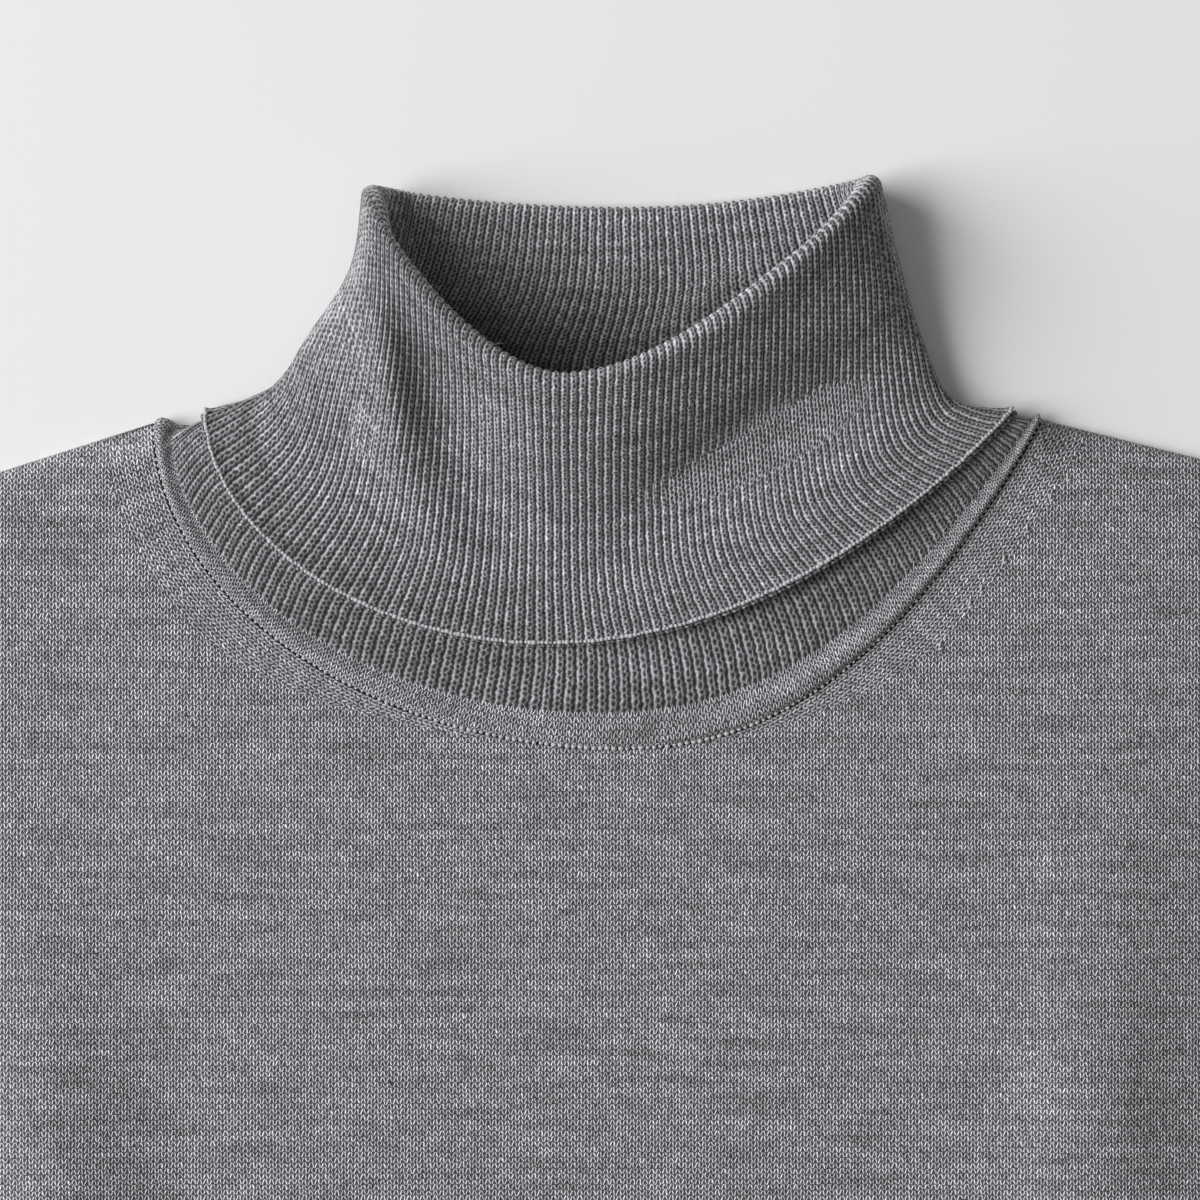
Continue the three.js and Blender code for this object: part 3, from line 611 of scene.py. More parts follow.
class Knit(Wires):
    """The shader of a knitted face: stitches from wales and courses, heather and nap."""

    def attribute(self, name: str) -> bpy.types.NodeSocket:
        """Args: name: a point attribute of the mesh. Returns: its value."""
        return self.node("ShaderNodeAttribute", attribute_name=name).outputs["Fac"]

    def bell(self, value: object, centre: object, width: float) -> bpy.types.NodeSocket:
        """Args: value, centre: sockets or numbers. width: of the bell. Returns: exp(-d * d)."""
        off = self.maths("DIVIDE", self.maths("SUBTRACT", value, centre), width)
        square = self.maths("MULTIPLY", off, off)
        return self.maths("EXPONENT", self.maths("MULTIPLY", square, -1.0))

    def pair(self, u: object, v: object) -> bpy.types.NodeSocket:
        """Args: u, v: two values. Returns: them as a vector."""
        node = self.node("ShaderNodeCombineXYZ")
        self.link(u, node.inputs[0])
        self.link(v, node.inputs[1])
        return node.outputs[0]

    def noise(self, u: object, v: object, scale: float, detail: float) -> bpy.types.NodeSocket:
        """Args: u, v: where. scale, detail: of the noise. Returns: a value about one half."""
        node = self.node("ShaderNodeTexNoise", noise_dimensions="2D")
        self.link(self.pair(u, v), node.inputs["Vector"])
        node.inputs["Scale"].default_value = scale
        node.inputs["Detail"].default_value = detail
        return node.outputs[0]

    def mottle(self, u: object, v: object, kind: Mottle) -> bpy.types.NodeSocket:
        """Args: u, v: where. kind: its sizes. Returns: the noise times its share, plus its low."""
        value = self.noise(u, v, kind.scale, kind.detail)
        return self.maths("MULTIPLY_ADD", value, kind.share, kind.low)

    def across(self, u: object) -> bpy.types.NodeSocket:
        """Args: u: wales or ribs. Returns: 0 in a column's middle, 1 between two columns."""
        return self.maths("ABSOLUTE", self.maths("MULTIPLY_ADD", self.maths("FRACT", u), 2.0, -1.0))

    def jersey(self, u: object, v: object) -> bpy.types.NodeSocket:
        """Plain stitches: two slim legs that lean together at the top of each course.

        Args: u: wales. v: courses. Returns: height, 0 in the holes and 1 on the yarn.
        """
        rise = self.maths("FRACT", v)
        middle = self.maths("MULTIPLY_ADD", rise, JERSEY_LEG.sway, JERSEY_LEG.middle)
        leg = self.bell(self.across(u), middle, JERSEY_LEG.width)
        ends = self.maths("POWER", self.maths("SINE", self.maths("MULTIPLY", rise, np.pi)), 0.25)
        return self.maths("MULTIPLY", leg, ends)

    def rib(self, u: object, v: object) -> bpy.types.NodeSocket:
        """One by one rib: two scalloped legs that meet once a course, and a groove between ribs.

        Args: u: ribs. v: courses. Returns: height, 0 in the grooves and holes, 1 on the yarn.
        """
        across = self.across(u)
        swing = self.maths("COSINE", self.maths("MULTIPLY", v, 2 * np.pi))
        middle = self.maths("MULTIPLY_ADD", swing, RIB_LEG.sway, RIB_LEG.middle)
        leg = self.bell(across, middle, RIB_LEG.width)
        leg = self.maths("MULTIPLY", leg, self.maths("MULTIPLY_ADD", swing, -0.12, 0.88))
        bridge = self.maths("MULTIPLY", self.bell(across, 0.0, 0.3),
                            self.maths("MAXIMUM", self.maths("MULTIPLY", swing, -0.5), 0.0))
        return self.maths("MAXIMUM", leg, bridge)

    def shade(self, colour: tuple[float, float, float], tone: object, height: object,
              depth: float) -> bpy.types.Material:
        """Args: colour: linear. tone: multiplies it. height, depth: of the bump, depth in mm.
        Returns: the finished material."""
        grey = self.node("ShaderNodeCombineColor")
        for index, part in enumerate(colour):
            self.link(self.maths("MULTIPLY", tone, part), grey.inputs[index])
        bump = self.node("ShaderNodeBump")
        bump.inputs["Strength"].default_value = 0.75
        bump.inputs["Distance"].default_value = depth * MM
        self.link(height, bump.inputs["Height"])
        shader = self.node("ShaderNodeBsdfPrincipled")
        shader.inputs["Roughness"].default_value = 0.95
        shader.inputs["Specular IOR Level"].default_value = 0.12
        shader.inputs["Sheen Weight"].default_value = 0.2
        shader.inputs["Sheen Roughness"].default_value = 0.5
        self.link(grey.outputs[0], shader.inputs["Base Color"])
        self.link(bump.outputs[0], shader.inputs["Normal"])
        self.link(shader.outputs[0], self.node("ShaderNodeOutputMaterial").inputs[0])
        return self.material


def make_finish(finish: Finish) -> bpy.types.Material:
    """Builds a knit material.

    The front's jersey turns to the neckline's own wales where its attribute "band" is above
    zero. The collar's rib turns to plain stitches where "ribbed" is low, and there its colour
    is lifted, partly for the plain stitch and partly as painted light. It darkens where "pitch"
    says that its ribs are pulled apart, partly for the open ribs' dark gaps and partly as
    painted shade on the strip under the free edge, and lightens where they lie close. Down the
    inside of the collar it carries a painted shade that grows deeper towards the base.

    Args: finish: what it looks like. Returns: the material.
    """
    w = Knit(finish.name)
    split = w.node("ShaderNodeSeparateXYZ")
    w.link(w.node("ShaderNodeUVMap", uv_map="stitches").outputs[0], split.inputs[0])
    u, v = split.outputs[0], split.outputs[1]
    if finish.stitch is Stitch.BANDED:
        inside = w.maths("GREATER_THAN", w.attribute("band"), 0.0)
        u = w.blend(inside, u, w.attribute("band_u"))
        v = w.blend(inside, v, w.attribute("band_v"))
    drift, jitter = w.mottle(u, v, DRIFT), w.mottle(u, v, JITTER)
    v = w.maths("ADD", v, w.maths("ADD", drift, jitter))
    u = w.maths("ADD", u, w.maths("MULTIPLY_ADD", drift, 0.35, w.maths("MULTIPLY", jitter, 0.5)))
    if finish.stitch in (Stitch.JERSEY, Stitch.BANDED):
        height = w.jersey(u, v)
    else:
        height = w.rib(u, v)
    if finish.stitch is Stitch.COLLAR:
        ribbed = w.smooth(w.attribute("ribbed"), 0.35, 0.65)
        height = w.blend(ribbed, w.jersey(w.maths("MULTIPLY", u, 2.0), v), height)
    leg = w.node("ShaderNodeTexWhiteNoise", noise_dimensions="2D")
    w.link(w.pair(w.maths("FLOOR", w.maths("MULTIPLY", u, 2.0)), w.maths("FLOOR", v)),
           leg.inputs["Vector"])
    tone = w.maths("MULTIPLY_ADD", leg.outputs[0], *LEG_TONE)
    fibre = w.noise(u, v, FIBRE.scale, FIBRE.detail)
    tone = w.maths("MULTIPLY", tone, w.maths("MULTIPLY_ADD", fibre, FIBRE.share, FIBRE.low))
    tone = w.maths("MULTIPLY", tone, w.mottle(w.maths("MULTIPLY", u, STREAK_LENGTH), v, STREAK))
    if finish.stitch is Stitch.COLLAR:
        # partly the open ribs' gaps, partly painted shade on the strip under the free edge
        stretch_and_shade = w.smooth(w.attribute("pitch"), *PITCH_RANGE, STRETCH_AND_SHADE_TONE)
        # painted shade: darkens the collar's inside, more towards its base
        lining = w.maths("MULTIPLY_ADD", w.attribute("deep"), PAINTED_SHADE_TONE, 1.0)
        # the plain band's lift is partly painted light, the rib factor partly painted shade, the
        # last factor painted shade inside the collar
        tone = w.maths("MULTIPLY", tone,
                       w.maths("MULTIPLY", w.blend(ribbed, BAND_STITCH_AND_LIGHT, stretch_and_shade), lining))
    # painted shade: the colour falls to the finish's last share in the holes and grooves between
    # stitches
    lit = w.smooth(height, 0.02, 0.72, (finish.hole_shade, 1.0))
    bumped = w.maths("MULTIPLY_ADD", fibre, FUZZ, height)
    return w.shade(finish.colour, w.maths("MULTIPLY", lit, tone), bumped, finish.depth)


def make_yarn(name: str, colour: tuple[float, float, float]) -> bpy.types.Material:
    """Args: name: its name. colour: linear. Returns: the plain yarn of seams and loose fibres."""
    w = Knit(name)
    place = w.node("ShaderNodeSeparateXYZ")
    w.link(w.node("ShaderNodeTexCoord").outputs["Object"], place.inputs[0])
    grain = w.noise(place.outputs[0], place.outputs[1], 2600.0, 2.0)
    return w.shade(colour, w.maths("MULTIPLY_ADD", grain, 0.8, 0.6), grain, 0.1)


# The pieces


@dataclass
class Body:
    """Front, back and their hem ribs."""

    underarm: tuple[float, float] = (250.0, -235.0)
    hem_top: tuple[float, float] = (232.0, -595.0)
    shoulder_x: float = 218.0
    shoulder_left_y: float = -36.0
    shoulder_right_y: float = -28.0
    hollow: tuple[float, float, float, float] = (203.0, -105.0, 204.0, -196.0)
    armhole: float = 199.0
    length: float = 560.0
    side_reach: float = 0.25
    hem_draw_in: float = 8.0
    hem_pitch: float = 2.4
    front_area: float = 0.0
    back_area: float = 0.0
    face: Array = field(default_factory=lambda: np.zeros((0, 0, 3)))

    def shoulder(self, side: Side) -> Array:
        """Args: side: which. Returns: the shoulder point."""
        left = side is Side.LEFT
        return np.array([side.value * self.shoulder_x,
                         self.shoulder_left_y if left else self.shoulder_right_y])

    def neck(self, side: Side) -> Array:
        """Args: side: which. Returns: the neck point, a gap outside the collar."""
        left = side is Side.LEFT
        x = SEAM.left_x if left else SEAM.right_x
        return np.array([x + side.value * NECK_GAP, SEAM.left_y if left else SEAM.right_y])

    def armhole_line(self, side: Side, share: Array) -> Array:
        """Args: side: which. share: 0 at the shoulder, 1 at the underarm. Returns: points."""
        s = side.value
        high_x, high_y, low_x, low_y = self.hollow
        controls = [self.shoulder(side), np.array([s * high_x, high_y]),
                    np.array([s * low_x, low_y]),
                    np.array([s * self.underarm[0], self.underarm[1]])]
        return bezier(controls, np.clip(share, 0, 1)[..., None])

    def edge(self, side: Side, down: Array) -> Array:
        """Args: side: which. down: mm below the shoulder. Returns: the body's edge."""
        s = side.value
        share = np.clip((down - self.armhole) / (self.length - self.armhole), 0, 1)[:, None]
        straight = lerp(np.array([s * self.underarm[0], self.underarm[1]]),
                        np.array([s * self.hem_top[0], self.hem_top[1]]), share)
        return np.where((down <= self.armhole)[:, None],
                        self.armhole_line(side, down / self.armhole), straight)

    def neckline(self, angle: Array) -> Array:
        """Args: angle: the collar ring's own. Returns: the panel's neckline, a gap outside."""
        ring = section_at((SEAM,), np.zeros(1))
        before, here, after = (ring_angle(ring, (angle + step)[None, :])[0, :, :2]
                               for step in (-0.01, 0.0, 0.01))
        along = unit(after - before)
        away = np.where(np.abs(angle) > np.pi / 2, -NECK_GAP, NECK_GAP)[:, None]
        return here + np.stack([along[:, 1], -along[:, 0]], axis=1) * away

    def top(self, steps: Array, neck_points: int) -> tuple[Array, Array, Array]:
        """The front's upper edge from the left shoulder to the right.

        Args: steps: distances from the shoulder. neck_points: how many round the neck.
        Returns: points, distance from the folded side, and how open each place is.
        """
        inland = self.shoulder_x / 2
        ends = []
        for side in Side:
            start, end = self.shoulder(side), self.neck(side)
            far = np.linalg.norm(end - start)
            ends.append((start + (end - start) * (steps / far)[:, None]))
        angle = np.linspace(-np.pi / 2, np.pi / 2, neck_points)
        neck = self.neckline(angle)
        neck[0], neck[-1] = self.neck(Side.LEFT), self.neck(Side.RIGHT)
        corner = np.where(angle < 0, SEAM.left_y, SEAM.right_y)
        open_share = round_up((corner - neck[:, 1]) / EDGE_ROUND)
        open_share[[0, -1]] = 0
        points = np.concatenate([ends[0], neck, ends[1][::-1]])
        zeros = np.zeros(len(steps))
        side_run = np.minimum(steps, inland)
        from_side = np.concatenate([side_run, np.full(neck_points, inland), side_run[::-1]])
        return points, from_side, np.concatenate([zeros, open_share, zeros])

    def bend(self, across: Array, up: Array, left: Array, right: Array) -> Array:
        """How far straight columns are drawn over to the side edges where those curve.

        Args: across: 0 at the left edge, 1 at the right. up: 1 at the top. left, right: the
            edges' points. Returns: the shift of every point, fading with the square.
        """
        total = 0.0
        for index, line in enumerate((left, right)):
            straight = lerp(line[-1], line[0], up[:, :, 0])
            near = np.maximum(0, 1 - np.abs(across - index) / self.side_reach) ** 2
            total = total + (line - straight)[:, None] * near
        return total

    def spread(self, top: Array, down: Array) -> tuple[Array, Array]:
        """A panel's plan, ruled from its upper edge to its hem and bent to its side edges.

        Args: top: its upper edge. down: mm below the shoulder, one a row.
        Returns: the plan, and the outline round it.
        """
        across = ((top[:, 0] - top[0, 0]) / (top[-1, 0] - top[0, 0]))[None, :, None]
        up = (1 - down / self.length)[:, None, None]
        left, right = self.edge(Side.LEFT, down), self.edge(Side.RIGHT, down)
        bottom = lerp(left[-1], right[-1], across)
        plan = lerp(bottom, top[None], up) + self.bend(across, up, left, right)
        return plan, np.concatenate([top, right, left[::-1]])

    def bands(self, plan: Array) -> dict[str, Array]:
        """Where the wales beside the neckline follow it, and their stitch coordinates.

        A point's nearest place on the neckline gives its distance and its run up from the low
        point; both are measured along the tangent there.

        Args: plan: places. Returns: the attributes band, band_u and band_v.
        """
        line = self.neckline(np.linspace(-np.pi / 2, np.pi / 2, 541))
        tangent = unit(np.gradient(line, axis=0))
        run = run_along(line)
        run = run - run[np.argmin(line[:, 1])]
        places = plan.reshape(-1, 2)
        near = (np.abs(places[:, 0]) < 145) & (places[:, 1] > BAND_LOW - 5)
        off = places[near][:, None] - line[None]
        nearest = np.argmin(np.einsum("pkc,pkc->pk", off, off), axis=1)
        off = off[np.arange(len(nearest)), nearest]
        along = np.einsum("pc,pc->p", off, tangent[nearest])
        aside = np.linalg.norm(off - along[:, None] * tangent[nearest], axis=1)
        inside = np.full(len(places), -FAR_AWAY)
        wales, courses = places[:, 0] / WALE, places[:, 1] / COURSE
        taper = np.clip((places[near][:, 1] - BAND_LOW) / BAND_TAPER, 0, 1)
        inside[near] = BAND_WIDTH * taper * (2 - taper) - aside
        wales[near] = aside / WALE
        courses[near] = np.abs(run[nearest] + along) / COURSE
        found = {"band": inside, "band_u": wales, "band_v": courses}
        return {name: values.reshape(plan.shape[:2]) for name, values in found.items()}

    def front(self, material: bpy.types.Material) -> bpy.types.Object:
        """The front panel: straight columns bent to its side edges, arched over the back.

        Args: material: its finish. Returns: the piece.
        """
        steps = np.array([0, 0.4, 1, 2, 3.5, 5.5, 8, 11, 15, 20, 26, 33, 40, 46, 52, 58, 64, 70,
                          75, 80, 85, 90, 95, 100.0])
        top, from_side, opened = self.top(steps, 111)
        down = np.concatenate([[0, 0.4, 1, 2, 3.5, 5.5, 8, 11], np.arange(14, 190, 2.6),
                               [189, 191.5, 194, 196, 197.5, 198.6, self.armhole],
                               np.linspace(204, self.length, 66)])
        plan, outline = self.spread(top, down)
        side_open = np.where(down < self.armhole, round_up(
            np.minimum(down, self.armhole - down) / EDGE_ROUND), 0)[:, None]
        share = lerp(round_up(from_side / EDGE_ROUND)[None], 1.0, side_open)
        share = share * lerp(round_up(down / EDGE_ROUND)[:, None], 1.0, opened[None])
        crown = loft(plan[..., 0], plan[..., 1])
        skin = Skin()
        bands = self.bands(plan)
        uv = np.stack([plan[..., 0] / WALE, plan[..., 1] / COURSE], axis=-1)
        grids = []
        for depth in (0.0, CLOTH):
            in_x = depth * (1 - side_open) * (1 - np.clip(from_side / EDGE_ROUND, 0, 1))[None]
            in_y = depth * (1 - opened[None]) * (1 - np.clip(down / EDGE_ROUND, 0, 1))[:, None]
            centre = plan[:, plan.shape[1] // 2, 0][:, None]
            x = plan[..., 0] - np.sign(plan[..., 0] - centre) * in_x
            z = EDGE_Z + (crown - depth - EDGE_Z) * share
            points = np.stack([x, plan[..., 1] - in_y, z], axis=-1)
            grids.append(skin.add(points, uv, **bands))
            if depth == 0:
                self.face = points
        skin.close(*grids)
        self.front_area = line_area(outline)
        return skin.build("front_knit", material)

    def back(self, material: bpy.types.Material) -> bpy.types.Object:
        """The back panel: flat on the floor, ruled between its two side edges.

        Args: material: its finish. Returns: the piece.
        """
        down = np.concatenate([np.linspace(0, self.armhole, 60), np.linspace(205, self.length, 50)])
        angle = np.concatenate([np.linspace(-np.pi / 2, -np.pi, 40),
                                np.linspace(np.pi, np.pi / 2, 40)[1:]])
        neck = self.neckline(angle)
        neck[0], neck[-1] = self.neck(Side.LEFT), self.neck(Side.RIGHT)
        steps = np.linspace(0, 0.97, 24)[:, None]
        top = np.concatenate([
            lerp(self.shoulder(Side.LEFT), self.neck(Side.LEFT), steps), neck,
            lerp(self.shoulder(Side.RIGHT), self.neck(Side.RIGHT), steps)[::-1]])
        plan, outline = self.spread(top, down)
        uv = np.stack([plan[..., 0] / WALE, plan[..., 1] / COURSE], axis=-1)
        skin = Skin()
        grids = [skin.add(np.concatenate([plan, np.full(plan.shape[:2] + (1,), z)], axis=-1), uv)
                 for z in (CLOTH, 0.0)]
        skin.close(*grids)
        self.back_area = line_area(outline)
        return skin.build("back_knit", material)

    def hem_ribs(self, material: bpy.types.Material) -> list[bpy.types.Object]:
        """The two hem ribs.

        Args: material: their finish. Returns: the front's and the back's.
        """
        half = self.hem_top[0]
        ribs = round(2 * half / self.hem_pitch)
        top, bottom = self.hem_top[1] - SEAM_GAP, HEM_BOTTOM
        number = np.linspace(0, ribs, 6 * ribs + 1)
        x = lerp(-half, half, number / ribs)
        share = round_up((half - np.abs(x)) / EDGE_ROUND)
        crest = RIB_RAISE * share * (0.5 - 0.5 * np.cos(2 * np.pi * number))
        y = np.linspace(top, bottom, 24)[:, None]
        narrow = 1 - self.hem_draw_in / half * (top - y) / (top - bottom)
        uv = np.stack(np.broadcast_arrays(number[None], y / RIB_COURSE), axis=-1)
        skin = Skin()
        grids = []
        for depth in (0.0, CLOTH):
            inset = np.sign(x) * depth * (1 - np.clip((half - np.abs(x)) / EDGE_ROUND, 0, 1))
            z = EDGE_Z + (FLAT_LOFT - depth - EDGE_Z) * share
            z = z + (crest if depth == 0 else 0)
            grids.append(skin.add(np.stack(np.broadcast_arrays(
                (x - inset)[None] * narrow, y, z[None]), axis=-1), uv))
        skin.close(*grids)
        front = skin.build("front_hem_knit", material)
        skin = Skin()
        grids = [skin.add(np.stack(np.broadcast_arrays(
            x[None] * narrow, y, np.full((1, 1), z)), axis=-1), uv) for z in (CLOTH, 0.0)]
        skin.close(*grids)
        return [front, skin.build("back_hem_knit", material)]


@dataclass
class Sleeve:
    """One sleeve and its cuff."""

    side: Side
    body: Body
    arm_angle: float = 40.0
    reach: float = 400.0
    wrist: float = 92.0
    taper: float = 38.0
    head: float = 165.0
    run: float = 340.0
    underarm_pull: float = 120.0
    wrist_pull: float = 150.0
    underside_round: float = 2.8
    cuff_depth: float = 65.0
    cuff_ribs: int = 40
    cuff_draw_in: float = 3.0
    area: float = 0.0

    def frame(self) -> dict[str, Array]:
        """Returns: the arm's directions and the corners of its two ends, on the plan."""
        s, angle = self.side.value, np.radians(self.arm_angle)
        down = np.array([s * np.sin(angle), -np.cos(angle)])
        out = np.array([s * np.cos(angle), np.sin(angle)])
        underarm = np.array([s * self.body.underarm[0], self.body.underarm[1]]) + out * SEAM_GAP
        inner = underarm + down * self.reach + out * self.taper
        shoulder = self.body.shoulder(self.side) + out * SEAM_GAP
        return {"down": down, "out": out, "underarm": underarm, "inner": inner,
                "outer": inner + out * self.wrist, "shoulder": shoulder}

    def plan(self, share: Array, along: Array) -> Array:
        """Args: share: 0 upper edge, 1 underarm edge. along: 0 armhole, 1 wrist. Returns: points."""
        f = self.frame()
        s = self.side.value
        slope = unit(self.body.shoulder(self.side) - self.body.neck(self.side))
        along = along[..., None]
        upper = bezier([f["shoulder"], f["shoulder"] + slope * self.head,
                        f["outer"] - f["down"] * self.run, f["outer"]], along)
        lower = bezier([f["underarm"], f["underarm"] + f["down"] * self.underarm_pull,
                        f["inner"] - f["down"] * self.wrist_pull, f["inner"]], along)
        gap = np.array([s * SEAM_GAP, 0.0])
        seam = self.body.armhole_line(self.side, share) + gap
        underarm = np.array([s * self.body.underarm[0], self.body.underarm[1]])
        chord = lerp(self.body.shoulder(self.side), underarm, share[..., None]) + gap
        return lerp(upper, lower, share[..., None]) + (seam - chord) * (1 - along) ** 2

    def tube(self, material: bpy.types.Material) -> bpy.types.Object:
        """The sleeve: a flattened tube with a wall.

        Args: material: its finish. Returns: the piece.
        """
        along = np.linspace(0, 1, 90)
        eased = 0.5 - 0.5 * np.cos(np.linspace(0, np.pi, 61))
        edge = np.array([0.002, 0.006])
        upper = np.unique(np.concatenate([eased, edge, 1 - edge]))
        share = np.concatenate([upper, upper[-2:0:-1]])
        over = np.concatenate([np.ones(len(upper), bool), np.zeros(len(upper) - 2, bool)])
        grid_share, grid_along = np.meshgrid(share, along)
        edges = [self.plan(np.full_like(along, end), along) for end in (0.0, 1.0)]
        width = np.linalg.norm(edges[0] - edges[1], axis=-1)[:, None]
        distance = np.minimum(grid_share, 1 - grid_share) * width
        centre = np.abs(0.5 - grid_share)
        skin = Skin()
        grids = []
        for depth in (0.0, CLOTH):
            inset = depth * (1 - np.clip(distance / EDGE_ROUND, 0, 1)) / width
            pull = np.where(centre < 1e-6, 0.0, inset / np.maximum(centre, 1e-6))
            plan = self.plan(lerp(grid_share, 0.5, pull), grid_along)
            crown = loft(*np.moveaxis(self.plan(grid_share, grid_along), -1, 0))
            rise = round_up(distance / np.where(over, EDGE_ROUND, self.underside_round)[None])
            level = np.where(over[None], crown - depth, depth)
            z = lerp(FLAT_LOFT / 2, level, rise)
            uv = np.stack([(grid_share - 0.5) * width / WALE,
                           -grid_along * (self.reach + 60) / COURSE], axis=-1)
            grids.append(skin.add(np.concatenate([plan, z[..., None]], axis=-1), uv))
        skin.close_tube(*grids)
        self.area = 2 * line_area(np.concatenate([edges[0], edges[1][::-1]]))
        return skin.build(f"sleeve_{self.side.name.lower()}_knit", material)

    def cuff(self, material: bpy.types.Material) -> bpy.types.Object:
        """The cuff: a flattened rib tube that carries the sleeve on.

        Args: material: its finish. Returns: the piece.
        """
        half, middle, ribs = self.wrist / 2, FLAT_LOFT / 2, self.cuff_ribs
        number = np.linspace(0, ribs, 8 * ribs + 1)
        x = lerp(-half, half, number / ribs)
        distance = half - np.abs(x)
        bowed = half - self.underside_round * (1 - np.cos(np.linspace(0, np.pi / 2, 6)))
        low_x = np.concatenate([bowed[1:], -bowed[:0:-1]])
        low_ribs = ribs * (1.5 - low_x / (2 * half))
        depth_axis = np.linspace(0, self.cuff_depth - SEAM_GAP, 24)[:, None]
        narrow = 1 - self.cuff_draw_in / half * depth_axis / (self.cuff_depth - SEAM_GAP)
        f = self.frame()
        start = (f["inner"] + f["outer"]) / 2 + f["down"] * SEAM_GAP
        sideways = np.array([-f["down"][1], f["down"][0]])
        skin = Skin()
        grids = []
        for depth in (0.0, CLOTH):
            share = round_up(distance / EDGE_ROUND)
            crest = RIB_RAISE * share * (0.5 - 0.5 * np.cos(2 * np.pi * number))
            top_z = middle + (FLAT_LOFT - depth - middle) * share + (crest if depth == 0 else 0)
            top_x = x - np.sign(x) * depth * (1 - np.clip(distance / EDGE_ROUND, 0, 1))
            low_share = round_up((half - np.abs(low_x)) / self.underside_round)
            low_z = lerp(middle, depth, low_share)
            low_in = depth * (1 - np.clip((half - np.abs(low_x)) / EDGE_ROUND, 0, 1))
            across = np.concatenate([top_x, low_x - np.sign(low_x) * low_in])[None] * narrow
            z = np.broadcast_to(np.concatenate([top_z, low_z])[None], across.shape)
            plan = start + across[..., None] * sideways + depth_axis[..., None] * f["down"]
            uv = np.stack(np.broadcast_arrays(
                np.concatenate([number, low_ribs])[None], -depth_axis / RIB_COURSE), axis=-1)
            grids.append(skin.add(np.concatenate([plan, z[..., None]], axis=-1), uv))
        skin.close_tube(*grids)
        return skin.build(f"cuff_{self.side.name.lower()}_knit", material)


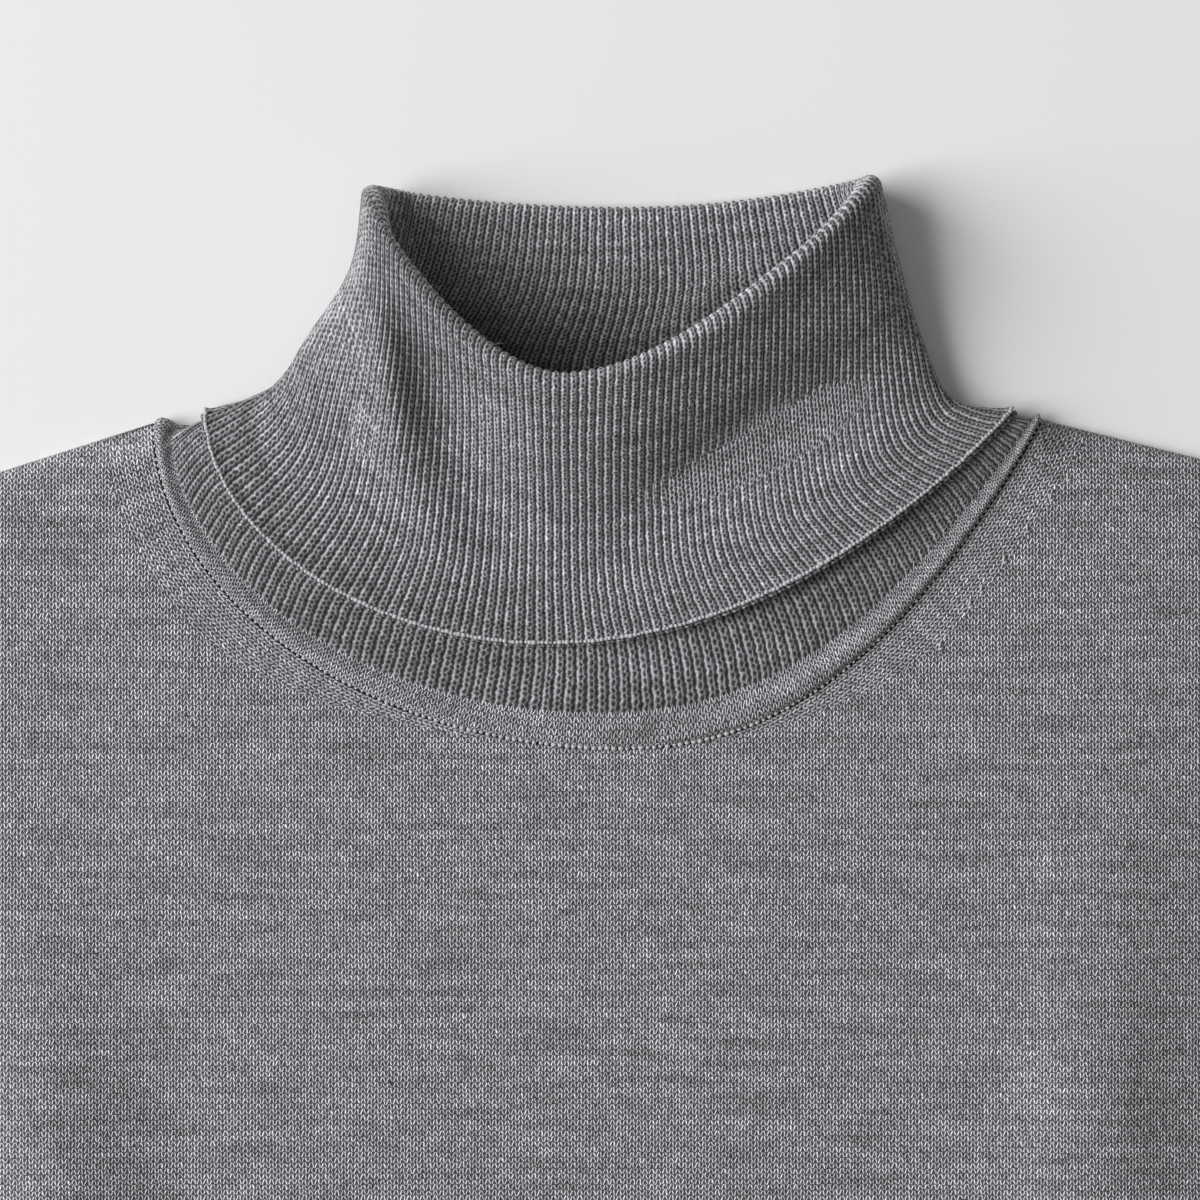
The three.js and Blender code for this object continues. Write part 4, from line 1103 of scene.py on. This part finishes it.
@dataclass
class Collar:
    """The turned-down collar: one rib tube with a plain band at its base.

    band and rib_start are shares of the stand's base. welt_at, welt_reach, dark_from and
    dark_over are shares of a layer; the last two set where a painted shade starts down the
    inside of the stand and how far it deepens. The heights are in mm.
    """

    shape: CollarShape = field(default_factory=CollarShape)
    band: float = 0.3
    rib_start: float = 0.06
    stand_raise: float = 0.45
    band_roll: float = 1.5
    roll_lean: float = 0.6
    edge_proud: float = 0.3
    edge_welt: float = 0.6
    welt_at: float = 0.02
    welt_reach: float = 0.03
    edge_lowest: float = 0.8
    dark_from: float = 1.0
    dark_over: float = 0.6
    per_rib: int = 6
    edge: Array = field(default_factory=lambda: np.zeros((0, 3)))
    face: Array = field(default_factory=lambda: np.zeros((0, 0, 3)))

    def build(self, material: bpy.types.Material) -> bpy.types.Object:
        """Rings from the neckline up the stand, over the fold, down to the free edge and back.

        Args: material: its finish. Returns: the piece, a closed ring of cloth.
        """
        shape, ribs = self.shape, np.arange(0, COLLAR_RIBS, 1 / self.per_rib)
        ribs = (ribs + COLLAR_RIBS / 2) % COLLAR_RIBS - COLLAR_RIBS / 2
        crest = (0.5 - 0.5 * np.cos(2 * np.pi * ribs))[None, :]

        def stand(level: Array, extra: Array) -> Array:
            """Args: level: up the stand. extra: mm further in. Returns: points."""
            return shape.under(level, ribs, COLLAR_CLOTH + shape.gap(level, ribs) + extra)

        def base(share: Array, raised: Array) -> Array:
            """Args: share: up the base. raised: mm outwards. Returns: points."""
            normal, _ = shape.facing(shape.stand_base, share, ribs)
            return shape.stand_base(share, ribs) + normal * np.asarray(raised)[..., None]

        start = self.band + self.rib_start * np.array([0.5, 1.0])
        share = np.concatenate([np.linspace(0, self.band, 8), start,
                                np.linspace(self.band + 0.14, 0.97, 8)])
        ramp = np.clip((share - self.band) / self.rib_start, 0, 1)[:, None]
        roll = np.sin(np.pi * np.clip(share / self.band, 0, 1) ** self.roll_lean)[:, None]
        parts = [base(share, self.stand_raise * crest * ramp + self.band_roll * roll)]
        parts.append(stand(np.array([0.3, 0.65, 0.9, 1.0]), np.zeros((1, 1))))
        top = np.ones(1)
        inner = np.broadcast_to(shape.gap(top, ribs) / 2, (3, ribs.size))
        parts.append(shape.fold(np.array([150.0, 90.0, 30.0]), ribs, inner))
        parts.append(shape.under(np.array([1, 0.75, 0.5, 0.25, 0.03]), ribs, COLLAR_CLOTH))
        edge = np.zeros(1)
        normal, uphill = shape.facing(shape.turn_down, edge, ribs)
        turns = np.radians([210.0, 240.0, 270.0, 300.0, 330.0])[:, None, None]
        half = (COLLAR_CLOTH + RIB_RAISE * crest[..., None]) / 2
        middle = shape.turn_down(edge, ribs) + normal * (RIB_RAISE * crest[..., None] - half)
        parts.append(middle + half * (uphill * np.sin(turns) - normal * np.cos(turns)))
        level = np.concatenate([[0.015, 0.03, 0.045, 0.06], np.linspace(0.08, 1, 29)])
        welt = self.edge_welt * np.exp(-((level - self.welt_at) / self.welt_reach) ** 2)[:, None]
        self.edge = shape.under(level[:1], ribs, -(welt[:1] + self.edge_proud)
                                * np.ones((1, ribs.size)))[0]
        self.edge[:, 2] = np.maximum(self.edge[:, 2], self.edge_lowest)
        parts.append(shape.under(level, ribs, -RIB_RAISE * crest - welt))
        turns = np.arange(15.0, 166.0, 15.0)
        radius = COLLAR_CLOTH + shape.gap(top, ribs) / 2 + RIB_RAISE * crest
        parts.append(shape.fold(turns, ribs, np.broadcast_to(radius, (turns.size, ribs.size))))
        level = np.linspace(1, 0.03, 20)
        lining = np.array([0.66, 0.33, 0.0])
        parts.append(stand(level, COLLAR_CLOTH + RIB_RAISE * crest * np.ones((level.size, 1))))
        parts.append(base(lining, np.full((lining.size, 1), -COLLAR_CLOTH)))
        points = np.concatenate(parts)
        points[..., 2] = np.maximum(points[..., 2], 0.0)
        rise = np.linalg.norm(np.diff(points, axis=0), axis=-1).mean(axis=1)
        run = np.concatenate([[0.0], np.cumsum(rise)])[:, None] / RIB_COURSE
        uv = np.stack(np.broadcast_arrays(ribs[None, :], run), axis=-1)
        ribbed = np.ones((len(points), 1))
        ribbed[:len(share)] = ramp
        around = np.linalg.norm(np.roll(points, -1, axis=1) - points, axis=-1)
        pitch = around.reshape(len(points), -1, self.per_rib).sum(axis=-1)
        pitch = np.repeat((np.roll(pitch, 1, axis=1) + pitch + np.roll(pitch, -1, axis=1)) / 3,
                          self.per_rib, axis=1)
        # painted shade inside the collar: none at the fold, growing down the stand's inner face,
        # full on the base's inner rows
        shaded = np.append(np.clip((self.dark_from - level) / self.dark_over, 0, 1),
                           np.ones(lining.size))
        deep = np.zeros((len(points), 1))
        deep[-shaded.size:, 0] = shaded
        self.face = points
        skin = Skin(period=COLLAR_RIBS)
        ids = skin.add(points, uv, ribbed=ribbed, pitch=pitch, deep=deep)
        ids = np.concatenate([ids, ids[:, :1]], axis=1)
        skin.skin(np.concatenate([ids, ids[:1]], axis=0))
        return skin.build("collar_knit", material)


@dataclass(frozen=True)
class BeadRow:
    """A row of stitches: its pitch, each one's half length, width and height, how far down they
    start to grow and the least share of their size. All but the last in mm."""

    pitch: float
    size: tuple[float, float, float]
    grow_from: float
    least: float


LINKING = BeadRow(1.6, (0.66, 0.52, 0.5), 45.0, 0.7)
LINKING_LIFT = np.array([0, 0, 0.25])
EDGE_LOOPS = BeadRow(1.0, (0.6, 0.5, 0.4), 0.0, 0.95)
GROW_OVER = 30.0


@dataclass
class Beads:
    """Small rounded stitches that lie along a line, joined into one mesh."""

    points: list[Array] = field(default_factory=list)
    faces: list[Array] = field(default_factory=list)
    count: int = 0

    def __post_init__(self) -> None:
        """Keeps the points and triangles of one unit ball."""
        ball = bmesh.new()
        bmesh.ops.create_icosphere(ball, subdivisions=1, radius=1.1)
        self.dice = np.random.default_rng(11)
        self.ball = np.array([v.co[:] for v in ball.verts])
        self.triangles = np.array([[v.index for v in face.verts] for face in ball.faces])
        ball.free()

    def lay(self, places: Array, along: Array, size: tuple[float, float, float],
            scale: float | Array = 1.0) -> None:
        """Args: places: middles, mm. along: directions. size: half length, width and height.
        scale: of each one."""
        along = unit(along)
        places = places + self.dice.normal(0, 0.07, places.shape)
        scale = (scale * self.dice.uniform(0.8, 1.2, len(places)))[:, None, None]
        side = unit(np.cross(np.array([0.0, 0.0, 1.0]), along))
        up = np.cross(along, side)
        axes = np.stack([along * size[0], side * size[1], up * size[2]], axis=1) * scale
        self.points.append((places[:, None] + np.einsum("kc,bcd->bkd", self.ball, axes))
                           .reshape(-1, 3))
        starts = self.count + np.arange(len(places)) * len(self.ball)
        self.faces.append((starts[:, None, None] + self.triangles[None]).reshape(-1, 3))
        self.count += len(places) * len(self.ball)

    def row(self, line: Array, kind: BeadRow) -> None:
        """Args: line: a dense path, mm. kind: the beads and how they are spaced."""
        run = run_along(line)
        stops = np.arange(kind.pitch / 2, run[-1], kind.pitch)
        place = [np.stack([np.interp(stops + step, run, line[:, k]) for k in range(3)], axis=1)
                 for step in (-kind.pitch / 4, 0.0, kind.pitch / 4)]
        low = np.clip((-place[1][:, 1] - kind.grow_from) / GROW_OVER, kind.least, 1)
        self.lay(place[1], place[2] - place[0], kind.size, low)

    def build(self, name: str, material: bpy.types.Material) -> bpy.types.Object:
        """Args: name: its name. material: its yarn. Returns: the piece."""
        return place_mesh(name, to_row(np.concatenate(self.points)),
                          np.concatenate(self.faces).tolist(), material)


MARK_LOOPS = ((0.95, 0.32, 0.34), (0.7, 0.3, 0.3))
FIBRES_A_PIECE = 1500
FIBRE_LENGTHS = (0.8, 3.2)
FIBRE_RADII = (0.016, 0.013, 0.004)
FASHIONING = (
    (-117, -18), (-110.4, -27.8), (-104, -35.8), (-99.8, -41.8), (-93, -49), (-86.4, -58.3),
    (114.5, -9.4), (111.4, -13.7), (107.3, -18.5), (101.6, -26), (96.2, -33.4), (90.7, -40.6),
    (88, -44), (80.9, -54),
)


def neck_seam() -> Array:
    """Returns: the line where the collar is linked to the body, all round, mm."""
    ring = section_at((SEAM,), np.zeros(1))
    line = ring_angle(ring, np.linspace(-np.pi, np.pi, 1441)[None])[0]
    line[:, 2] = np.maximum(line[:, 2], CLOTH)
    return line


def fashioning_marks(beads: Beads, face: Array) -> None:
    """Lays two crossed loops at each mark beside the neckline.

    Args: beads: where they go. face: the front's outer points.
    """
    flat = face.reshape(-1, 3)
    seam = neck_seam()
    marks = np.array(FASHIONING, dtype=float)
    nearest = np.argmin(np.linalg.norm(flat[None, :, :2] - marks[:, None], axis=-1), axis=1)
    on_seam = np.argmin(np.linalg.norm(seam[None, :, :2] - marks[:, None], axis=-1), axis=1)
    along = seam[(on_seam + 4) % len(seam)] - seam[on_seam - 4]
    along[:, 2] = 0
    along = unit(along)
    aside = np.stack([-along[:, 1], along[:, 0], np.zeros(len(marks))], axis=1)
    places = np.column_stack([marks, flat[nearest, 2] + 0.15])
    beads.lay(places + aside * 0.3, along + aside * 0.5, MARK_LOOPS[0])
    beads.lay(places - aside * 0.5 - along * 0.7, along - aside * 0.8, MARK_LOOPS[1])


def loose_fibres(name: str, faces: Sequence[Array], count: int,
                 material: bpy.types.Material) -> bpy.types.Object:
    """Fine curved hairs that stand out of the cloth, each a bent three-sided spike.

    Args: name: its name. faces: grids of outer points, mm. count: hairs on each grid.
        material: their yarn. Returns: the piece.
    """
    dice = np.random.default_rng(7)
    starts, ways = [], []
    for grid in faces:
        row = dice.integers(1, grid.shape[0] - 1, count)
        column = dice.integers(1, grid.shape[1] - 1, count)
        starts.append(grid[row, column])
        ways.append(unit(np.cross(grid[row, column + 1] - grid[row, column - 1],
                                  grid[row + 1, column] - grid[row - 1, column])))
    start, way = np.concatenate(starts), np.concatenate(ways)
    lean = dice.normal(size=(2,) + start.shape)
    length = dice.uniform(*FIBRE_LENGTHS, (len(start), 1))
    steps = [start - way * 0.2,
             start + (way + 0.6 * lean[0]) * length * 0.35,
             start + (way + 0.9 * lean[0] + 0.5 * lean[1]) * length * 0.7]
    angle = np.radians([0.0, 120.0, 240.0])
    round_it = np.stack([np.cos(angle), np.sin(angle), 0 * angle], axis=1)
    rings = [step[:, None] + round_it[None] * radius for step, radius in zip(steps, FIBRE_RADII)]
    points = np.concatenate(rings, axis=1).reshape(-1, 3)
    points[:, 2] = np.maximum(points[:, 2], 0.02)
    base = (np.arange(len(start)) * 9)[:, None, None]
    wall = np.array([[r * 3 + k, r * 3 + (k + 1) % 3, r * 3 + 3 + (k + 1) % 3, r * 3 + 3 + k]
                     for r in range(2) for k in range(3)])
    quads = (base + wall[None]).reshape(-1, 4).tolist()
    caps = (base + np.array([[2, 1, 0], [6, 7, 8]])[None]).reshape(-1, 3).tolist()
    return place_mesh(name, to_row(points), quads + caps, material, smooth=False)


# The set


@dataclass(frozen=True)
class Lamp:
    """A square lamp: watts, side, and place from the point it looks at, in metres."""

    name: str
    energy: float
    size: float
    place: tuple[float, float, float]


@dataclass
class Set:
    """Floor, lights and camera. The camera looks at look_x, look_y and sees frame_width, in
    garment mm, from camera_height, in metres."""

    look_x: float = -0.7
    look_y: float = -43.2
    frame_width: float = 288.0
    camera_height: float = 2.1
    sensor: float = 36.0
    floor_size: float = 60.0
    floor_tone: float = 0.8
    room_light: float = 0.15
    lamps: tuple[Lamp, ...] = (Lamp("key", 260.0, 3.4, (-3.2, 0.48, 2.24)),
                               Lamp("top", 6.0, 2.5, (0.7, 0.1, 3.1)))

    def floor(self) -> bpy.types.Object:
        """Returns: a very large pale floor."""
        w = Wires("paper")
        shader = w.node("ShaderNodeBsdfPrincipled")
        shader.inputs["Base Color"].default_value = (*[self.floor_tone] * 3, 1.0)
        shader.inputs["Roughness"].default_value = 0.9
        shader.inputs["Specular IOR Level"].default_value = 0.1
        w.link(shader.outputs[0], w.node("ShaderNodeOutputMaterial").inputs[0])
        corners = np.array([(-1, -1, 0), (1, -1, 0), (1, 1, 0), (-1, 1, 0)]) * self.floor_size
        floor = place_mesh("floor", corners, [(0, 1, 2, 3)], w.material, smooth=False)
        return floor

    def hang(self, lamp: Lamp, aim: Vector) -> None:
        """Args: lamp: its sizes. aim: the point it looks at."""
        light = bpy.data.lights.new(lamp.name, "AREA")
        light.energy = lamp.energy
        light.size = lamp.size
        piece = bpy.data.objects.new(lamp.name, light)
        piece.location = aim + Vector(lamp.place)
        piece.rotation_euler = (-Vector(lamp.place)).to_track_quat("-Z", "Y").to_euler()
        bpy.context.scene.collection.objects.link(piece)

    def dress(self) -> None:
        """Puts up the lights, the world and the camera."""
        scene = bpy.context.scene
        aim = Vector((self.look_x, self.look_y + ROW_SHIFT, 0)) * MM
        for lamp in self.lamps:
            self.hang(lamp, aim)
        world = bpy.data.worlds.new("room")
        world.use_nodes = True
        background = world.node_tree.nodes["Background"]
        background.inputs[0].default_value = (1.0, 1.0, 1.0, 1.0)
        background.inputs[1].default_value = self.room_light
        scene.world = world
        camera = bpy.data.cameras.new("camera")
        camera.sensor_width = self.sensor
        camera.lens = self.sensor * self.camera_height / (self.frame_width * MM)
        camera.clip_start = 0.05
        camera.clip_end = 200.0
        eye = bpy.data.objects.new("camera", camera)
        eye.location = aim + Vector((0, 0, self.camera_height))
        scene.collection.objects.link(eye)
        scene.camera = eye
        scene.view_settings.view_transform = "Standard"


JERSEY = Finish("jersey", Stitch.JERSEY, (0.57, 0.567, 0.598))
FRONT = Finish("jersey_front", Stitch.BANDED, (0.57, 0.567, 0.598))
RIB = Finish("rib", Stitch.RIB, (0.54, 0.538, 0.563))
COLLAR = Finish("collar_rib", Stitch.COLLAR, (0.445, 0.442, 0.466), hole_shade=0.12)
YARN = (0.46, 0.458, 0.478)


def declare(piece: bpy.types.Object, node: str) -> bpy.types.Object:
    """Args: piece: the knitted piece. node: the solid it stands for.
    Returns: the piece."""
    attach(piece, "root")
    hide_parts(node)
    return piece


def main() -> None:
    """Builds the sweater, hangs each piece on the root in place of its hidden solid and dresses the
    set.
    """
    logging.basicConfig(level=logging.INFO, format="%(name)s: %(message)s")
    jersey, front_jersey, rib, collar_rib = (
        make_finish(finish) for finish in (JERSEY, FRONT, RIB, COLLAR))
    yarn = make_yarn("yarn", YARN)
    studio = Set()
    floor = studio.floor()
    body = Body()
    back = declare(body.back(jersey), "back")
    front = declare(body.front(front_jersey), "front")
    front_hem, back_hem = body.hem_ribs(rib)
    declare(front_hem, "front_hem_rib")
    declare(back_hem, "back_hem_rib")
    neck = Collar()
    collar = declare(neck.build(collar_rib), "collar")
    sewing = Beads()
    sewing.row(neck_seam() + LINKING_LIFT, LINKING)
    sewing.row(np.concatenate([neck.edge, neck.edge[:1]]), EDGE_LOOPS)
    fashioning_marks(sewing, body.face)
    stitches = sewing.build("seam_stitches", yarn)
    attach(stitches, "root")
    fuzz = loose_fibres("loose_fibres", (body.face, neck.face), FIBRES_A_PIECE, yarn)
    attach(fuzz, "root")
    for side in Side:
        arm = Sleeve(side, body)
        name = side.name.lower()
        sleeve = declare(arm.tube(jersey), f"sleeve_{name}")
        cuff = declare(arm.cuff(rib), f"cuff_{name}")
    studio.dress()


if __name__ == "__main__":
    main()
